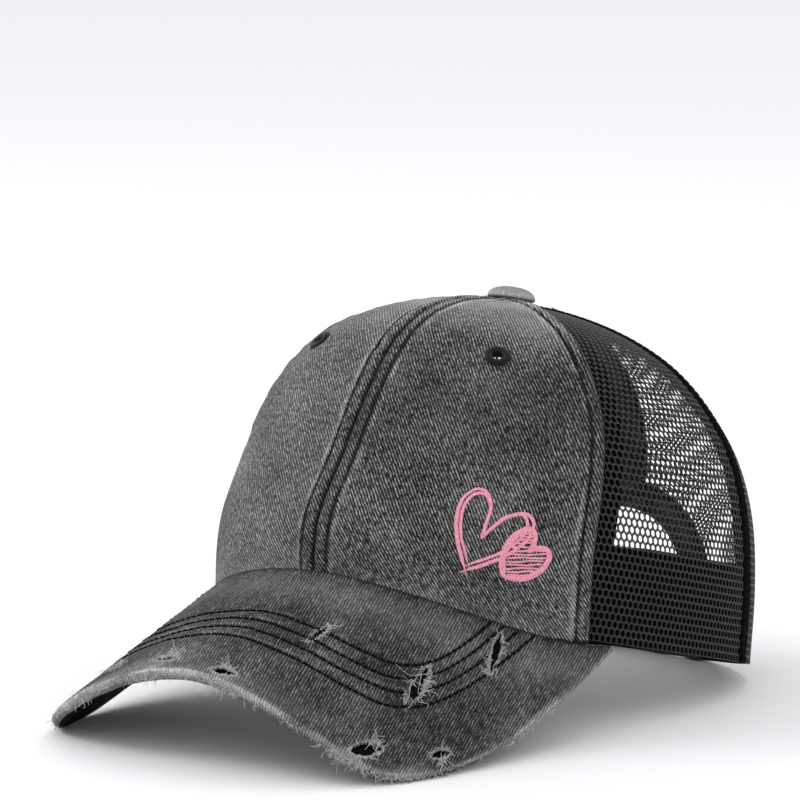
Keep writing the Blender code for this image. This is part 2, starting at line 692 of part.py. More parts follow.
def add_strap(parts):
    """Strap from behind the opening's left binding, laid over a tab from the right one."""
    root = OPENING_HALF_WIDTH + BINDING_WIDTH - 4 * CLEARANCE
    behind = -NET_INSET - NET_THICKNESS - CURVED_CLEARANCE - TAPE_THICKNESS - CURVED_CLEARANCE
    front = behind + STRAP_THICKNESS + CLEARANCE
    upward = np.linspace(0, STRAP_HEIGHT, 3)[:, None]
    opening_at_top = OPENING_HALF_WIDTH * (
        1 - (STRAP_HEIGHT / OPENING_HEIGHT) ** OPENING_POWER) ** (1 / OPENING_POWER)
    end = opening_at_top - CURVED_CLEARANCE - TAPE_THICKNESS - STRAP_END_GAP
    x = np.linspace(root, -end, 17)[None, :]
    grid = back_point(x, upward, strap_lift(x, behind, front) + 0 * upward)
    add_sheet("strap", grid, STRAP_THICKNESS, "grey_strap", parts)
    x = np.linspace(-TAB_END, -root, 8)[None, :]
    grid = back_point(x, upward, np.full(np.broadcast(x, upward).shape, behind))
    add_sheet("strap_tab", grid, STRAP_THICKNESS, "grey_strap", parts)


def add_button(parts):
    """Covered button over the apex, with its post and inner flange through the panels' hole."""
    flange_top = -TWILL_THICKNESS - CLEARANCE
    flange_low = flange_top - BUTTON_FLANGE_THICKNESS
    bulge = np.radians(np.linspace(90, 0, 5))
    foot = 0.28 * BUTTON_HEIGHT
    profile = [
        (BUTTON_RADIUS * np.cos(angle), CLEARANCE + foot + (BUTTON_HEIGHT - foot) * np.sin(angle))
        for angle in bulge
    ]
    profile[0] = (0.0, profile[0][1])
    profile += [
        (0.94 * BUTTON_RADIUS, CLEARANCE), (BUTTON_POST_RADIUS, CLEARANCE),
        (BUTTON_POST_RADIUS, flange_top), (BUTTON_FLANGE_RADIUS, flange_top),
        (BUTTON_FLANGE_RADIUS, flange_low), (0.0, flange_low)]
    button = add_turned("button", profile, 20, "washed_twill", parts)
    button.location = (0.0, -APEX_FORWARD, CROWN_HEIGHT)


def add_eyelets(parts):
    """Ring through each front panel: outer flange, barrel and inner flange in one section."""
    outer_top = CLEARANCE + EYELET_WALL
    inner_top = -TWILL_THICKNESS - CURVED_CLEARANCE
    profile = [
        (EYELET_HOLE_RADIUS, outer_top), (0.75 * EYELET_RADIUS, outer_top),
        (EYELET_RADIUS, CLEARANCE), (EYELET_BARREL_RADIUS, CLEARANCE),
        (EYELET_BARREL_RADIUS, inner_top), (EYELET_FLANGE_RADIUS, inner_top),
        (EYELET_FLANGE_RADIUS, inner_top - EYELET_WALL),
        (EYELET_HOLE_RADIUS, inner_top - EYELET_WALL)]
    for side, name in ((1, "eyelet_left"), (-1, "eyelet_right")):
        ring = add_turned(name, profile, 14, "dark_eyelet", parts, closed=True)
        stand_on_surface(ring, *eyelet_place(side))


def shape_points(pieces):
    """Corners of the pieces as built, in the cap's own frame."""
    bpy.context.view_layer.update()
    graph = bpy.context.evaluated_depsgraph_get()
    clouds = []
    for piece in pieces:
        mesh = piece.evaluated_get(graph).to_mesh()
        corners = np.empty(len(mesh.vertices) * 3)
        mesh.vertices.foreach_get("co", corners)
        placed = corners.reshape(-1, 3) @ np.array(piece.matrix_basis.to_3x3()).T
        clouds.append(placed + np.array(piece.matrix_basis.translation))
    return np.concatenate(clouds)


def leaned(points, lean):
    """Points turned back about X by the lean."""
    turn = np.array(Matrix.Rotation(-lean, 3, "X"))
    return points @ turn.T


def resting_lean(peak_points, crown_points):
    """Lean at which the peak's lowest edge and the crown's lowest edge share one floor."""
    low, high = 0.0, np.radians(40)
    for _ in range(40):
        middle = (low + high) / 2
        peak_lowest = leaned(peak_points, middle)[:, 2].min()
        crown_lowest = leaned(crown_points, middle)[:, 2].min()
        if peak_lowest < crown_lowest:
            low = middle
        else:
            high = middle
    return middle


def rest_on_floor(parts, cutters):
    """Lean the cap until it rests, and press flat what touches the floor."""
    pieces = list(parts.objects)
    peak_points = shape_points([p for p in pieces if p.name.startswith("peak")])
    crown_points = shape_points([p for p in pieces if not p.name.startswith("peak")])
    lean = resting_lean(peak_points, crown_points)
    everything = leaned(np.concatenate((peak_points, crown_points)), lean)
    low, high = everything.min(axis=0), everything.max(axis=0)
    stance = bpy.data.objects.new("resting_stance", None)
    parts.objects.link(stance)
    stance.rotation_euler = (-lean, 0.0, 0.0)
    stance.location = (0.0, -(low[1] + high[1]) / 2, -low[2] - FLOOR_PRESS)
    floor_depth = 20 * FLOOR_PRESS
    floor = add_cutter("floor", 4, (4 * RIM_FRONT, 4 * RIM_FRONT, 2 * floor_depth), cutters)
    floor.location = (0.0, 0.0, -floor_depth)
    for piece in pieces:
        piece.parent = stance
        lowest = leaned(shape_points([piece]), lean)[:, 2].min() - low[2]
        if lowest < FLOOR_PRESS:
            cut(piece, floor)
    for cutter in cutters.objects:
        if cutter is not floor:
            cutter.parent = stance


def build_cap():
    """Make every piece, then stand the cap on the floor."""
    for old in list(bpy.data.objects):
        bpy.data.objects.remove(old, do_unlink=True)
    parts = bpy.data.collections.new(CAP_NAME)
    cutters = bpy.data.collections.new("cutters")
    for collection in (parts, cutters):
        bpy.context.scene.collection.children.link(collection)
    add_front_panels(parts, cutters)
    add_side_panels(parts)
    add_back_panels(parts)
    add_bindings(parts)
    add_sweatband(parts)
    add_seam_tapes(parts)
    add_peak(parts, cutters)
    add_strap(parts)
    add_button(parts)
    add_eyelets(parts)
    rest_on_floor(parts, cutters)


build_cap()
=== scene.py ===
"""Looks of the ponytail baseball cap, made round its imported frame.

Every cloth surface is worked out in the cap's own frame, where the rim lies in the plane Z = 0, the
peak points along -Y and +X is the wearer's left. stand() then leans the cap back onto the floor.
A bearing turns from 0 at the front seam towards +X. A share runs up the crown's wall, from 0 at the
rim to 1 at the apex. A lift is a distance outside the crown's outer surface.
"""

import bpy
import numpy as np
from mathutils import Matrix, Vector


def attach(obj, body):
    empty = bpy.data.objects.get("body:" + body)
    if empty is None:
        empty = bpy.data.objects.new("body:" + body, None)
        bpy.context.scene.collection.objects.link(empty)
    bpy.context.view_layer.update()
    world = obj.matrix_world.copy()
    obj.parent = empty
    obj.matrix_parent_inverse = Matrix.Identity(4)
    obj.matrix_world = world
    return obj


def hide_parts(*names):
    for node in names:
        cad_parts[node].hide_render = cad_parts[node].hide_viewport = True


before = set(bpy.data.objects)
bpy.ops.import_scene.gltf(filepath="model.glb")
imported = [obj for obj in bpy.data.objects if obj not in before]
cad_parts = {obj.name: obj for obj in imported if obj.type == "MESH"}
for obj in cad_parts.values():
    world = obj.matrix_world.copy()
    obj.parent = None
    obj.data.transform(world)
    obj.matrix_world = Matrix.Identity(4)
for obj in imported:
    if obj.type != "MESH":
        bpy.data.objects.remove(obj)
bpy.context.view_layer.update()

MM = 0.001
SIDES = ((1, "left"), (-1, "right"))
FULL_TURN = 2 * float(np.pi)
QUARTER_TURN = np.pi / 2

# Crown and peak, as the frame has them
CROWN_HEIGHT = 111.5 * MM
RIM_FRONT, RIM_SIDE, RIM_BACK = 102.0 * MM, 86.7 * MM, 80.5 * MM
APEX_FORWARD = 14.0 * MM
FRONT_POWER, BACK_POWER = 2.16, 2.54
FRONT_SEAM = np.radians(59.5)
REAR_SEAM = np.radians(112.0)
CROWN_SECTIONS = {
    "front": (1.000, 1.002, 0.892, 0.795, 0.699, 0.581, 0.424, 0.225, 0.0),
    "side": (1.000, 0.999, 0.971, 0.918, 0.809, 0.664, 0.470, 0.245, 0.0),
    "back": (1.000, 1.003, 0.983, 0.874, 0.733, 0.578, 0.407, 0.215, 0.0),
}
WALL_STEPS = len(CROWN_SECTIONS["front"]) - 1
PEAK_REACH = 60.5 * MM
PEAK_SLOPE = np.radians(33.0)
PEAK_ARCH_RADIUS = 76.3 * MM
PEAK_END = np.radians(64.0)
PEAK_TIP_WIDTH = 2.5 * MM
PEAK_OUTLINE = (1.0, 1.035, 1.10, 1.16, 1.12, 1.05, 1.0)
PEAK_TIP_THICKNESS_SHARE = 0.45
PEAK_EDGE_BLEND = 14.0 * MM
ARCH_FLATTENING, ARCH_FLATTENING_SPAN = 0.081, 60.0 * MM
HEM_TUCK_END = np.radians(72.0)
COVER_THICKNESS, BOARD_THICKNESS = 1.2 * MM, 2.2 * MM
TWILL_THICKNESS = 1.5 * MM
CLEARANCE = 0.3 * MM
PEAK_THICKNESS = COVER_THICKNESS + CLEARANCE + BOARD_THICKNESS

# Rear opening, slot and strap
OPENING_HALF_WIDTH, OPENING_HEIGHT, OPENING_POWER = 33.5 * MM, 53.0 * MM, 2.29
BINDING_WIDTH = 9.0 * MM
SLOT_HALF_WIDTH = 8.7 * MM
SLOT_TOP_FROM_APEX = 12.5 * MM
SLOT_BINDING_WIDTH = 9.5 * MM
STRAP_HEIGHT = 21.0 * MM

# How the cap stands: leaned back, then moved so that it is centred over the origin on the floor
LEAN = np.radians(13.654)
STAND_AT = np.array([0.0, 41.06, 18.24]) * MM


def unit(vectors):
    """Vectors brought to length 1."""
    return vectors / np.linalg.norm(vectors, axis=-1, keepdims=True)


def smooth_step(t):
    """Rise from 0 to 1 that starts and ends level: t squared times (3 - 2t)."""
    t = np.clip(t, 0, 1)
    return t * t * (3 - 2 * t)


def ridge(distance, width):
    """Bell of height 1 round distance 0: the exponential of minus the squared share of width."""
    return np.exp(-(distance / width) ** 2)


def cloth_noise(u, v, seed):
    """Smooth random field from -1 to 1: random values at whole numbers, blended between them."""
    table = np.random.default_rng(seed).uniform(-1, 1, (64, 64))
    column, row = np.floor(u).astype(int), np.floor(v).astype(int)
    s, t = smooth_step(u - column), smooth_step(v - row)
    corner = [[table[(column + i) % 64, (row + j) % 64] for j in (0, 1)] for i in (0, 1)]
    low = corner[0][0] * (1 - s) + corner[1][0] * s
    high = corner[0][1] * (1 - s) + corner[1][1] * s
    return low * (1 - t) + high * t


def through_points(values, place, before, after):
    """Catmull-Rom curve through evenly spaced values, at places counted in steps from the first."""
    padded = np.concatenate(([before], values, [after]))
    step = np.clip(place.astype(int), 0, len(values) - 2)
    t = place - step
    p0, p1, p2, p3 = (padded[step + k] for k in range(4))
    curve = 2 * p1 + (p2 - p0) * t
    curve += (2 * p0 - 5 * p1 + 4 * p2 - p3) * t ** 2
    curve += (3 * p1 - p0 - 3 * p2 + p3) * t ** 3
    return curve / 2


def section_reach(name, share):
    """Reach share of a column of the section table; past the apex it goes on, its sign changed."""
    column = np.array(CROWN_SECTIONS[name])
    place = np.clip(share, 0.0, 1.0) * WALL_STEPS
    return through_points(column, place, 2 * column[0] - column[1], -column[-2])


def share_at_height(height):
    """Share up the wall at a height: the rise is 1 minus the square of what is left to climb."""
    return 1 - np.sqrt(np.clip(1 - height / CROWN_HEIGHT, 0, None))


def crown_surface(bearing, share):
    """Crown's outer surface: a superellipse in plan whose four reaches follow the section table."""
    bearing, share = np.broadcast_arrays(np.asarray(bearing, float), np.asarray(share, float))
    cosine, sine = np.cos(bearing), np.sin(bearing)
    ahead = cosine > 0
    power = np.where(ahead, FRONT_POWER, BACK_POWER)
    scale = (np.abs(cosine) ** power + np.abs(sine) ** power) ** (-1 / power)
    front = RIM_FRONT * section_reach("front", share)
    back = RIM_BACK * section_reach("back", share)
    side = RIM_SIDE * section_reach("side", share)
    rise = 1 - (1 - share) ** 2
    x = side * sine * scale
    y = -np.where(ahead, front, back) * cosine * scale - APEX_FORWARD * rise
    return np.stack([x, y, CROWN_HEIGHT * rise], axis=-1)


def crown_normal(bearing, share):
    """Outward direction of the crown: cross product of small steps round it and up it."""
    step = 1e-4
    around = crown_surface(bearing + step, share) - crown_surface(bearing - step, share)
    upward = crown_surface(bearing, share + step) - crown_surface(bearing, share - step)
    normal = np.cross(around, upward)
    return normal / np.maximum(np.linalg.norm(normal, axis=-1, keepdims=True), 1e-12)


def crown_point(bearing, share, lift):
    """Point of the crown moved out along its outward direction by a lift."""
    bearing, share, lift = np.broadcast_arrays(bearing, share, lift)
    return crown_surface(bearing, share) + crown_normal(bearing, share) * lift[..., None]


def around_rate(bearing, share):
    """Length of cloth passed for each radian round the crown."""
    step = 1e-4
    around = crown_surface(bearing + step, share) - crown_surface(bearing - step, share)
    return np.linalg.norm(around, axis=-1) / (2 * step)


def back_bearing(x, share):
    """Bearing of the crown's back at a sideways place, from the superellipse's equation."""
    across = np.clip(x / (RIM_SIDE * section_reach("side", share)), -1, 1)
    rearward = (1 - np.abs(across) ** BACK_POWER) ** (1 / BACK_POWER)
    return np.arctan2(across, -rearward)


def wall_lengths(bearing):
    """Lengths of cloth from the rim to 401 even shares up the wall at a bearing."""
    share = np.linspace(0, 1, 401)
    line = crown_surface(np.full_like(share, bearing), share)
    steps = np.linalg.norm(np.diff(line, axis=0), axis=1)
    return share, np.concatenate(([0], np.cumsum(steps)))


BACK_SHARES, BACK_LENGTHS = wall_lengths(np.pi)
SLOT_BOTTOM = OPENING_HEIGHT + BINDING_WIDTH + 2 * CLEARANCE
SLOT_TOP = BACK_LENGTHS[-1] - SLOT_TOP_FROM_APEX
SLOT_END_HALF_WIDTH = 1.7 * MM
APEX_SHARE = 0.9726


def back_point(x, length, lift):
    """Point of the crown's back at a sideways place and a length of cloth above the rim."""
    share = np.interp(length, BACK_LENGTHS, BACK_SHARES)
    return crown_point(back_bearing(x, share), share, lift)


def arch_table():
    """Arc lengths across the peak, and the sideways place and drop at each: the sums of the cosine
    and sine of a turn that grows with the arc and is eased by its cube."""
    arc = np.linspace(0, 2.2 * RIM_SIDE, 400)
    turn = arc / PEAK_ARCH_RADIUS - ARCH_FLATTENING * (arc / ARCH_FLATTENING_SPAN) ** 3
    sums = [
        np.concatenate(([0], np.cumsum((part[1:] + part[:-1]) / 2 * arc[1])))
        for part in (np.cos(turn), np.sin(turn))
    ]
    return arc, sums[0], sums[1]


ARCH_ARC, ARCH_ACROSS, ARCH_DROP = arch_table()
ARCH_LIMIT = int(np.argmax(ARCH_ACROSS)) + 1


def arch_length(x):
    """Arc length across the peak to a sideways place."""
    return np.sign(x) * np.interp(np.abs(x), ARCH_ACROSS[:ARCH_LIMIT], ARCH_ARC[:ARCH_LIMIT])


PEAK_CORNER = crown_surface(PEAK_END, 0.0)
PEAK_LEVEL = np.interp(arch_length(PEAK_CORNER[0]), ARCH_ARC, ARCH_DROP)
PEAK_LEVEL += np.tan(PEAK_SLOPE) * (-RIM_FRONT - PEAK_CORNER[1])


def peak_surface(arc, y):
    """Peak's upper surface: the arch carried forward and down its straight ridges."""
    x = np.sign(arc) * np.interp(np.abs(arc), ARCH_ARC, ARCH_ACROSS)
    drop = np.interp(np.abs(arc), ARCH_ARC, ARCH_DROP)
    return np.stack([x, y, PEAK_LEVEL - drop + np.tan(PEAK_SLOPE) * (RIM_FRONT + y)], axis=-1)


def peak_normal(arc, y):
    """Upward direction of the peak's upper surface, from small steps across and back."""
    step = 2e-4
    across = peak_surface(arc + step, y) - peak_surface(arc - step, y)
    rearward = peak_surface(arc, y + step) - peak_surface(arc, y - step)
    return unit(np.cross(across, rearward))


def seam_height(bearing):
    """Height at which the peak meets the crown, by four steps of substitution."""
    bearing = np.asarray(bearing, float)
    height = np.zeros_like(bearing)
    for _ in range(4):
        place = crown_surface(bearing, share_at_height(height))
        level = peak_surface(arch_length(place[..., 0]), place[..., 1])[..., 2]
        height = np.where(np.abs(bearing) < PEAK_END, np.clip(level, 0, None), 0.0)
    return height


def hem_height(bearing):
    """Height of the crown's hem, tucked down behind the peak and level with the rim past it."""
    fade = np.clip(1 - (bearing / HEM_TUCK_END) ** 2, 0, None)
    return seam_height(bearing) - fade * PEAK_THICKNESS / np.cos(PEAK_SLOPE)


def peak_flat(turn, across):
    """Flat place on the peak and its width there: a straight line from the crown's foot at across 0
    to the outer edge at across 1, whose reach follows the outline table."""
    bearing = turn / QUARTER_TURN * PEAK_END
    foot = crown_point(bearing, share_at_height(seam_height(bearing)), np.array(0.5 * MM))
    steps = len(PEAK_OUTLINE) - 1
    outline = np.array(PEAK_OUTLINE)
    place = np.clip(np.abs(turn) / QUARTER_TURN * steps, 0, steps)
    reach = through_points(outline, place, outline[1], 2 * outline[-1] - outline[-2])
    outer_arc = (arch_length(PEAK_CORNER[0]) + PEAK_TIP_WIDTH) * np.sin(turn) * reach
    outer_y = PEAK_CORNER[1] + (-RIM_FRONT - PEAK_REACH - PEAK_CORNER[1]) * np.cos(turn) * reach
    inner_arc, inner_y = arch_length(foot[..., 0]), foot[..., 1]
    width = np.hypot(outer_arc - inner_arc, outer_y - inner_y)
    arc = inner_arc + (outer_arc - inner_arc) * across
    return arc, inner_y + (outer_y - inner_y) * across, width


def peak_layer(turn, across, depth):
    """Point at a depth under the peak: straight down beside the crown, square to the cloth further
    out, and thinned towards the ends."""
    arc, y, width = peak_flat(turn, across)
    normal = peak_normal(arc, y)
    upright = np.zeros_like(normal)
    upright[..., 2] = 1 / normal[..., 2]
    away = smooth_step(width * across / PEAK_EDGE_BLEND)[..., None]
    ends = 1 - (1 - PEAK_TIP_THICKNESS_SHARE) * np.abs(turn / QUARTER_TURN)[..., None] ** 6
    direction = upright * (1 - away) + normal * away
    return peak_surface(arc, y) - direction * ends * np.asarray(depth)[..., None]


def stand(points):
    """Turn points of the cap's own frame about X by the lean, and move them to where it stands."""
    turn = np.array(Matrix.Rotation(-LEAN, 3, "X"))
    return points @ turn.T + STAND_AT


def grid_quads(rows, columns, closed=False):
    """Corner numbers of the quads of a grid, joined from its last column to its first if closed."""
    number = np.arange(rows * columns).reshape(rows, columns)
    if closed:
        number = np.concatenate([number, number[:, :1]], axis=1)
    low, high = number[:-1], number[1:]
    return np.stack([low[:, :-1], low[:, 1:], high[:, 1:], high[:, :-1]], axis=-1).reshape(-1, 4)


def closing_fan(sides):
    """Quads that close a ring of an even count of points, fanned out from its first point."""
    step = np.arange(1, sides - 1, 2)
    return np.stack([0 * step, step, step + 1, step + 2], axis=-1)


def make_mesh(name, points, faces, cloth, wear_and_painted_light=None):
    """Mesh of whole arrays, nothing of it below the floor: points, faces of one size, a cloth UV in
    metres and a value of wear and painted light."""
    mesh = bpy.data.meshes.new(name)
    points = np.asarray(points, float).reshape(-1, 3)
    faces = np.asarray(faces, int)
    used = np.unique(faces)
    fresh = np.zeros(len(points), int)
    fresh[used] = np.arange(len(used))
    points, faces = stand(points[used]), fresh[faces]
    points[:, 2] = np.maximum(points[:, 2], 0.0)
    mesh.vertices.add(len(points))
    mesh.vertices.foreach_set("co", points.ravel())
    mesh.loops.add(faces.size)
    mesh.loops.foreach_set("vertex_index", faces.ravel())
    mesh.polygons.add(len(faces))
    mesh.polygons.foreach_set("loop_start", np.arange(len(faces)) * faces.shape[1])
    mesh.update(calc_edges=True)
    cloth = np.asarray(cloth, float).reshape(-1, 2)[used]
    mesh.uv_layers.new(name="cloth").uv.foreach_set("vector", cloth[faces.ravel()].ravel())
    if wear_and_painted_light is None:
        wear_and_painted_light = np.zeros(len(fresh))
    worn_and_painted_light = mesh.attributes.new("wear_and_painted_light", "FLOAT", "POINT")
    worn_and_painted_light.data.foreach_set("value", np.asarray(wear_and_painted_light, float).reshape(-1)[used])
    mesh.validate()
    mesh.shade_smooth()
    return mesh


def make_piece(name, mesh, material, slot, *nodes):
    """Object of a finished mesh that rides on the cap and stands for the named nodes."""
    piece = bpy.data.objects.new(name, mesh)
    bpy.context.scene.collection.objects.link(piece)
    mesh.materials.append(material)
    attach(piece, "root")
    if nodes:
        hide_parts(*nodes)
    return piece


def thicken(piece, thickness, side=-1.0):
    """Give an open sheet its thickness on its inner side (-1) or outer side (1)."""
    wall = piece.modifiers.new("thickness", "SOLIDIFY")
    wall.thickness = thickness
    wall.offset = side


def make_sheet(name, points, finish, slot, nodes, thickness, cloth=None, wear_and_painted_light=None, flip=False,
               side=-1.0):
    """Sheet on a grid of points. Its outer side is the one from which the rows rise while the
    columns run right, or left if flipped. Its cloth lengths are measured on it unless given."""
    faces = grid_quads(*points.shape[:2])
    if flip:
        faces = faces[:, ::-1]
    if cloth is None:
        cloth = np.stack([lengths_along(points, 1), lengths_along(points, 0)], axis=-1)
    mesh = make_mesh(name, points, faces, cloth, wear_and_painted_light)
    thicken(make_piece(name, mesh, MATERIALS[finish], slot, *nodes), thickness, side)


def grid_point(grid, row, column):
    """Point of a grid between whole rows and columns: its four nearest points, weighed by how
    close they are."""
    r = np.clip(row.astype(int), 0, grid.shape[0] - 2)
    c = np.clip(column.astype(int), 0, grid.shape[1] - 2)
    down, along = (row - r)[..., None], (column - c)[..., None]
    first = grid[r, c] * (1 - along) + grid[r, c + 1] * along
    second = grid[r + 1, c] * (1 - along) + grid[r + 1, c + 1] * along
    return first * (1 - down) + second * down


def lengths_along(points, axis):
    """Lengths of cloth from the first row or column of a grid of points to each point."""
    steps = np.linalg.norm(np.diff(points, axis=axis), axis=-1)
    first = np.zeros_like(np.take(steps, [0], axis=axis))
    return np.concatenate([first, np.cumsum(steps, axis=axis)], axis=axis)


class Wire:
    """Output of a shader node, with arithmetic that adds the nodes it needs."""

    def __init__(self, recipe, socket):
        self.recipe = recipe
        self.socket = socket

    def maths(self, operation, *others):
        return self.recipe.node(
            "ShaderNodeMath", {"operation": operation}, dict(enumerate((self, *others))))

    def __add__(self, other):
        return self.maths("ADD", other)

    def __sub__(self, other):
        return self.maths("SUBTRACT", other)

    def __mul__(self, other):
        return self.maths("MULTIPLY", other)

    def __truediv__(self, other):
        return self.maths("DIVIDE", other)

    def __pow__(self, other):
        return self.maths("POWER", other)

    __radd__ = __add__

    def wave(self, length):
        """Sine wave from 0 to 1 whose crests are a length apart."""
        return (self * (FULL_TURN / length)).maths("SINE") * 0.5 + 0.5

    def between(self, low, high):
        """Share of the way from low to high, kept between 0 and 1."""
        return self.recipe.node("ShaderNodeMapRange", {"clamp": True}, {0: self, 1: low, 2: high})


class Recipe:
    """Material being made: a Principled shader and one method for every other node."""

    def __init__(self, name, roughness, sheen=0.0, specular=0.5):
        self.material = bpy.data.materials.new(name)
        self.material.use_nodes = True
        self.tree = self.material.node_tree
        self.shader = self.tree.nodes["Principled BSDF"]
        for socket, value in (("Roughness", roughness), ("Specular IOR Level", specular),
                              ("Sheen Weight", sheen), ("Sheen Roughness", 0.5)):
            self.shader.inputs[socket].default_value = value

    def node(self, kind, settings=None, sockets=None, out=0):
        """Add a node: its settings first, then the values or wires of its sockets."""
        made = self.tree.nodes.new(kind)
        for key, value in (settings or {}).items():
            setattr(made, key, value)
        for key, value in (sockets or {}).items():
            self.feed(made.inputs[key], value)
        return Wire(self, made.outputs[out])

    def feed(self, socket, value):
        """Link a wire to a socket, or set its value."""
        if isinstance(value, Wire):
            self.tree.links.new(value.socket, socket)
        else:
            socket.default_value = value

    def mix(self, factor, first, second):
        """Colour between two colours."""
        return self.node(
            "ShaderNodeMix", {"data_type": "RGBA"}, {0: factor, 6: first, 7: second}, out=2)

    def cloth(self):
        """Lengths of cloth across and along, in metres, from the piece's own UV map."""
        place = self.node("ShaderNodeUVMap", {"uv_map": "cloth"})
        across = self.node("ShaderNodeSeparateXYZ", {}, {0: place})
        return place, across, Wire(self, across.socket.node.outputs[1])

    def noise(self, place, size, detail=2.0, roughness=0.5):
        """Noise from 0 to 1 whose grains are about a size in metres."""
        return self.node(
            "ShaderNodeTexNoise", {},
            {"Vector": place, "Scale": 1 / size, "Detail": detail, "Roughness": roughness})

    def wear_and_painted_light(self):
        """The piece's value of wear and painted light: above 0 where it is rubbed pale or carries a
        painted highlight, below 0 where painted shade darkens it.
        """
        return self.node("ShaderNodeAttribute", {"attribute_name": "wear_and_painted_light"}, {}, out=2)

    def finish(self, colour, height, depth):
        """Connect a colour and a bump of a height in metres, and return the material."""
        self.feed(self.shader.inputs["Base Color"], colour)
        bump = self.node(
            "ShaderNodeBump", {}, {"Strength": 1.0, "Distance": depth, "Height": height})
        self.feed(self.shader.inputs["Normal"], bump)
        return self.material


def grey(value):
    """Grey of one linear value."""
    return (value, value, value, 1.0)


def twill(name, dark, light, pale, pitch, slant, mottle=1.0, bold=1.0):
    """Washed twill: slanting ridges broken into pale grains over dark gaps, clouded by the wash,
    pale where worn or given a painted highlight, and darkened by painted shade. Slant turns the
    ridges from level, and bold is their contrast."""
    recipe = Recipe(name, 0.95, sheen=0.05, specular=0.15)
    place, across, up = recipe.cloth()
    cosine, sine = float(np.cos(slant)), float(np.sin(slant))
    wobble = recipe.noise(place, 5 * MM, 1.0) * 0.5
    line = (up * cosine - across * sine) / pitch + wobble
    along = (across * cosine + up * sine) / (pitch * 1.9)
    ridges = line.wave(1.0) ** 0.8
    streak_place = recipe.node("ShaderNodeCombineXYZ", {}, {0: line * 1.15, 1: along, 2: 3.0})
    streaks = recipe.noise(streak_place, 1.0, 2.0, 0.6).between(0.28, 0.72)
    speck = recipe.noise(place, 0.42 * MM, 2.0, 0.75).between(0.28, 0.72)
    height = ridges * (0.6 + streaks * 0.5) + speck * 0.45
    wash = recipe.noise(place, 26 * MM, 3.0, 0.6).between(0.32, 0.70)
    fleck = recipe.noise(place, 3.0 * MM, 3.0, 0.7).between(0.34, 0.68)
    tone = ridges * (0.05 + streaks * 0.95) * (1.15 * bold) + speck * (1.12 - 0.5 * bold)
    tone = tone - (0.75 - 0.25 * bold)
    tone = tone + wash * (0.26 * mottle) + fleck * (0.20 * mottle) - 0.06
    colour = recipe.mix(tone.between(0.0, 1.0) ** 1.6, dark, light)
    wear_and_painted_light = recipe.wear_and_painted_light()
    rub = recipe.noise(place, 1.3 * MM, 3.0, 0.75).between(0.25, 0.75)
    # Pale where rubbed, and where the value carries a painted highlight.
    worn_and_painted_light = (wear_and_painted_light * (0.25 + rub * 0.9) * (0.45 + height * 0.45)).between(0.0, 1.0)
    colour = recipe.mix(worn_and_painted_light, colour, pale)
    # Painted shade: near black where the value is below 0.
    painted_shade = (wear_and_painted_light * -1.0).between(0.0, 1.0)
    colour = recipe.mix(painted_shade * 0.9, colour, grey(0.004))
    return recipe.finish(colour, height, 0.25 * MM)


def black_cloth(name, tone, pitch):
    """Black woven cloth: fine slanting ribs with a little dust."""
    recipe = Recipe(name, 0.85, sheen=0.01, specular=0.06)
    place, across, up = recipe.cloth()
    ribs = (across + up).wave(pitch)
    speck = recipe.noise(place, 0.7 * MM, 2.0, 0.7)
    height = ribs * 0.6 + speck * 0.6
    dust = recipe.noise(place, 9 * MM, 3.0).between(0.45, 0.75)
    colour = recipe.mix(dust * 0.4 + speck * 0.4, grey(tone * 0.5), grey(tone * 1.6))
    return recipe.finish(colour, height, 0.2 * MM)


def net_fibre():
    """Black polyester fibre, a little glossy, with fine filament lines."""
    recipe = Recipe("black_net_fibre", 0.38, specular=0.6)
    place, across, up = recipe.cloth()
    lines = (up + across * 0.3).wave(0.35 * MM)
    speck = recipe.noise(place, 0.5 * MM, 2.0)
    colour = recipe.mix(lines * 0.5 + speck * 0.4, grey(0.003), grey(0.022))
    return recipe.finish(colour, lines, 0.08 * MM)


def thread(name, tone, pale, sheen=0.2, specular=0.25):
    """Spun thread: slanting ply lines over a mottled tone."""
    recipe = Recipe(name, 0.8, sheen=sheen, specular=specular)
    place, across, up = recipe.cloth()
    ply = (across + up).wave(0.25 * MM)
    speck = recipe.noise(place, 1.2 * MM, 2.0)
    colour = recipe.mix(ply * 0.4 + speck * 0.6, grey(tone), grey(pale))
    return recipe.finish(colour, ply, 0.06 * MM)


def pink_ink():
    """Printed ink lying on the twill: pink, cracked a little over the ridges."""
    recipe = Recipe("pink_print", 0.75, specular=0.25)
    place, across, up = recipe.cloth()
    ridges = (up * 0.64 + across * 0.77).wave(0.95 * MM)
    patches = recipe.noise(place, 1.1 * MM, 3.0, 0.7).between(0.30, 0.62)
    colour = recipe.mix(
        patches * 0.65 + ridges * 0.35, (0.62, 0.19, 0.27, 1), (0.93, 0.40, 0.50, 1))
    return recipe.finish(colour, ridges * 0.6 + patches * 0.4, 0.12 * MM)


def dark_enamel():
    """Black enamelled eyelet, scuffed in patches."""
    recipe = Recipe("black_enamel", 0.5, specular=0.2)
    place, _, _ = recipe.cloth()
    scuff = recipe.noise(place, 1.5 * MM, 3.0, 0.7).between(0.5, 0.8)
    colour = recipe.mix(scuff, grey(0.002), grey(0.010))
    return recipe.finish(colour, scuff, 0.03 * MM)


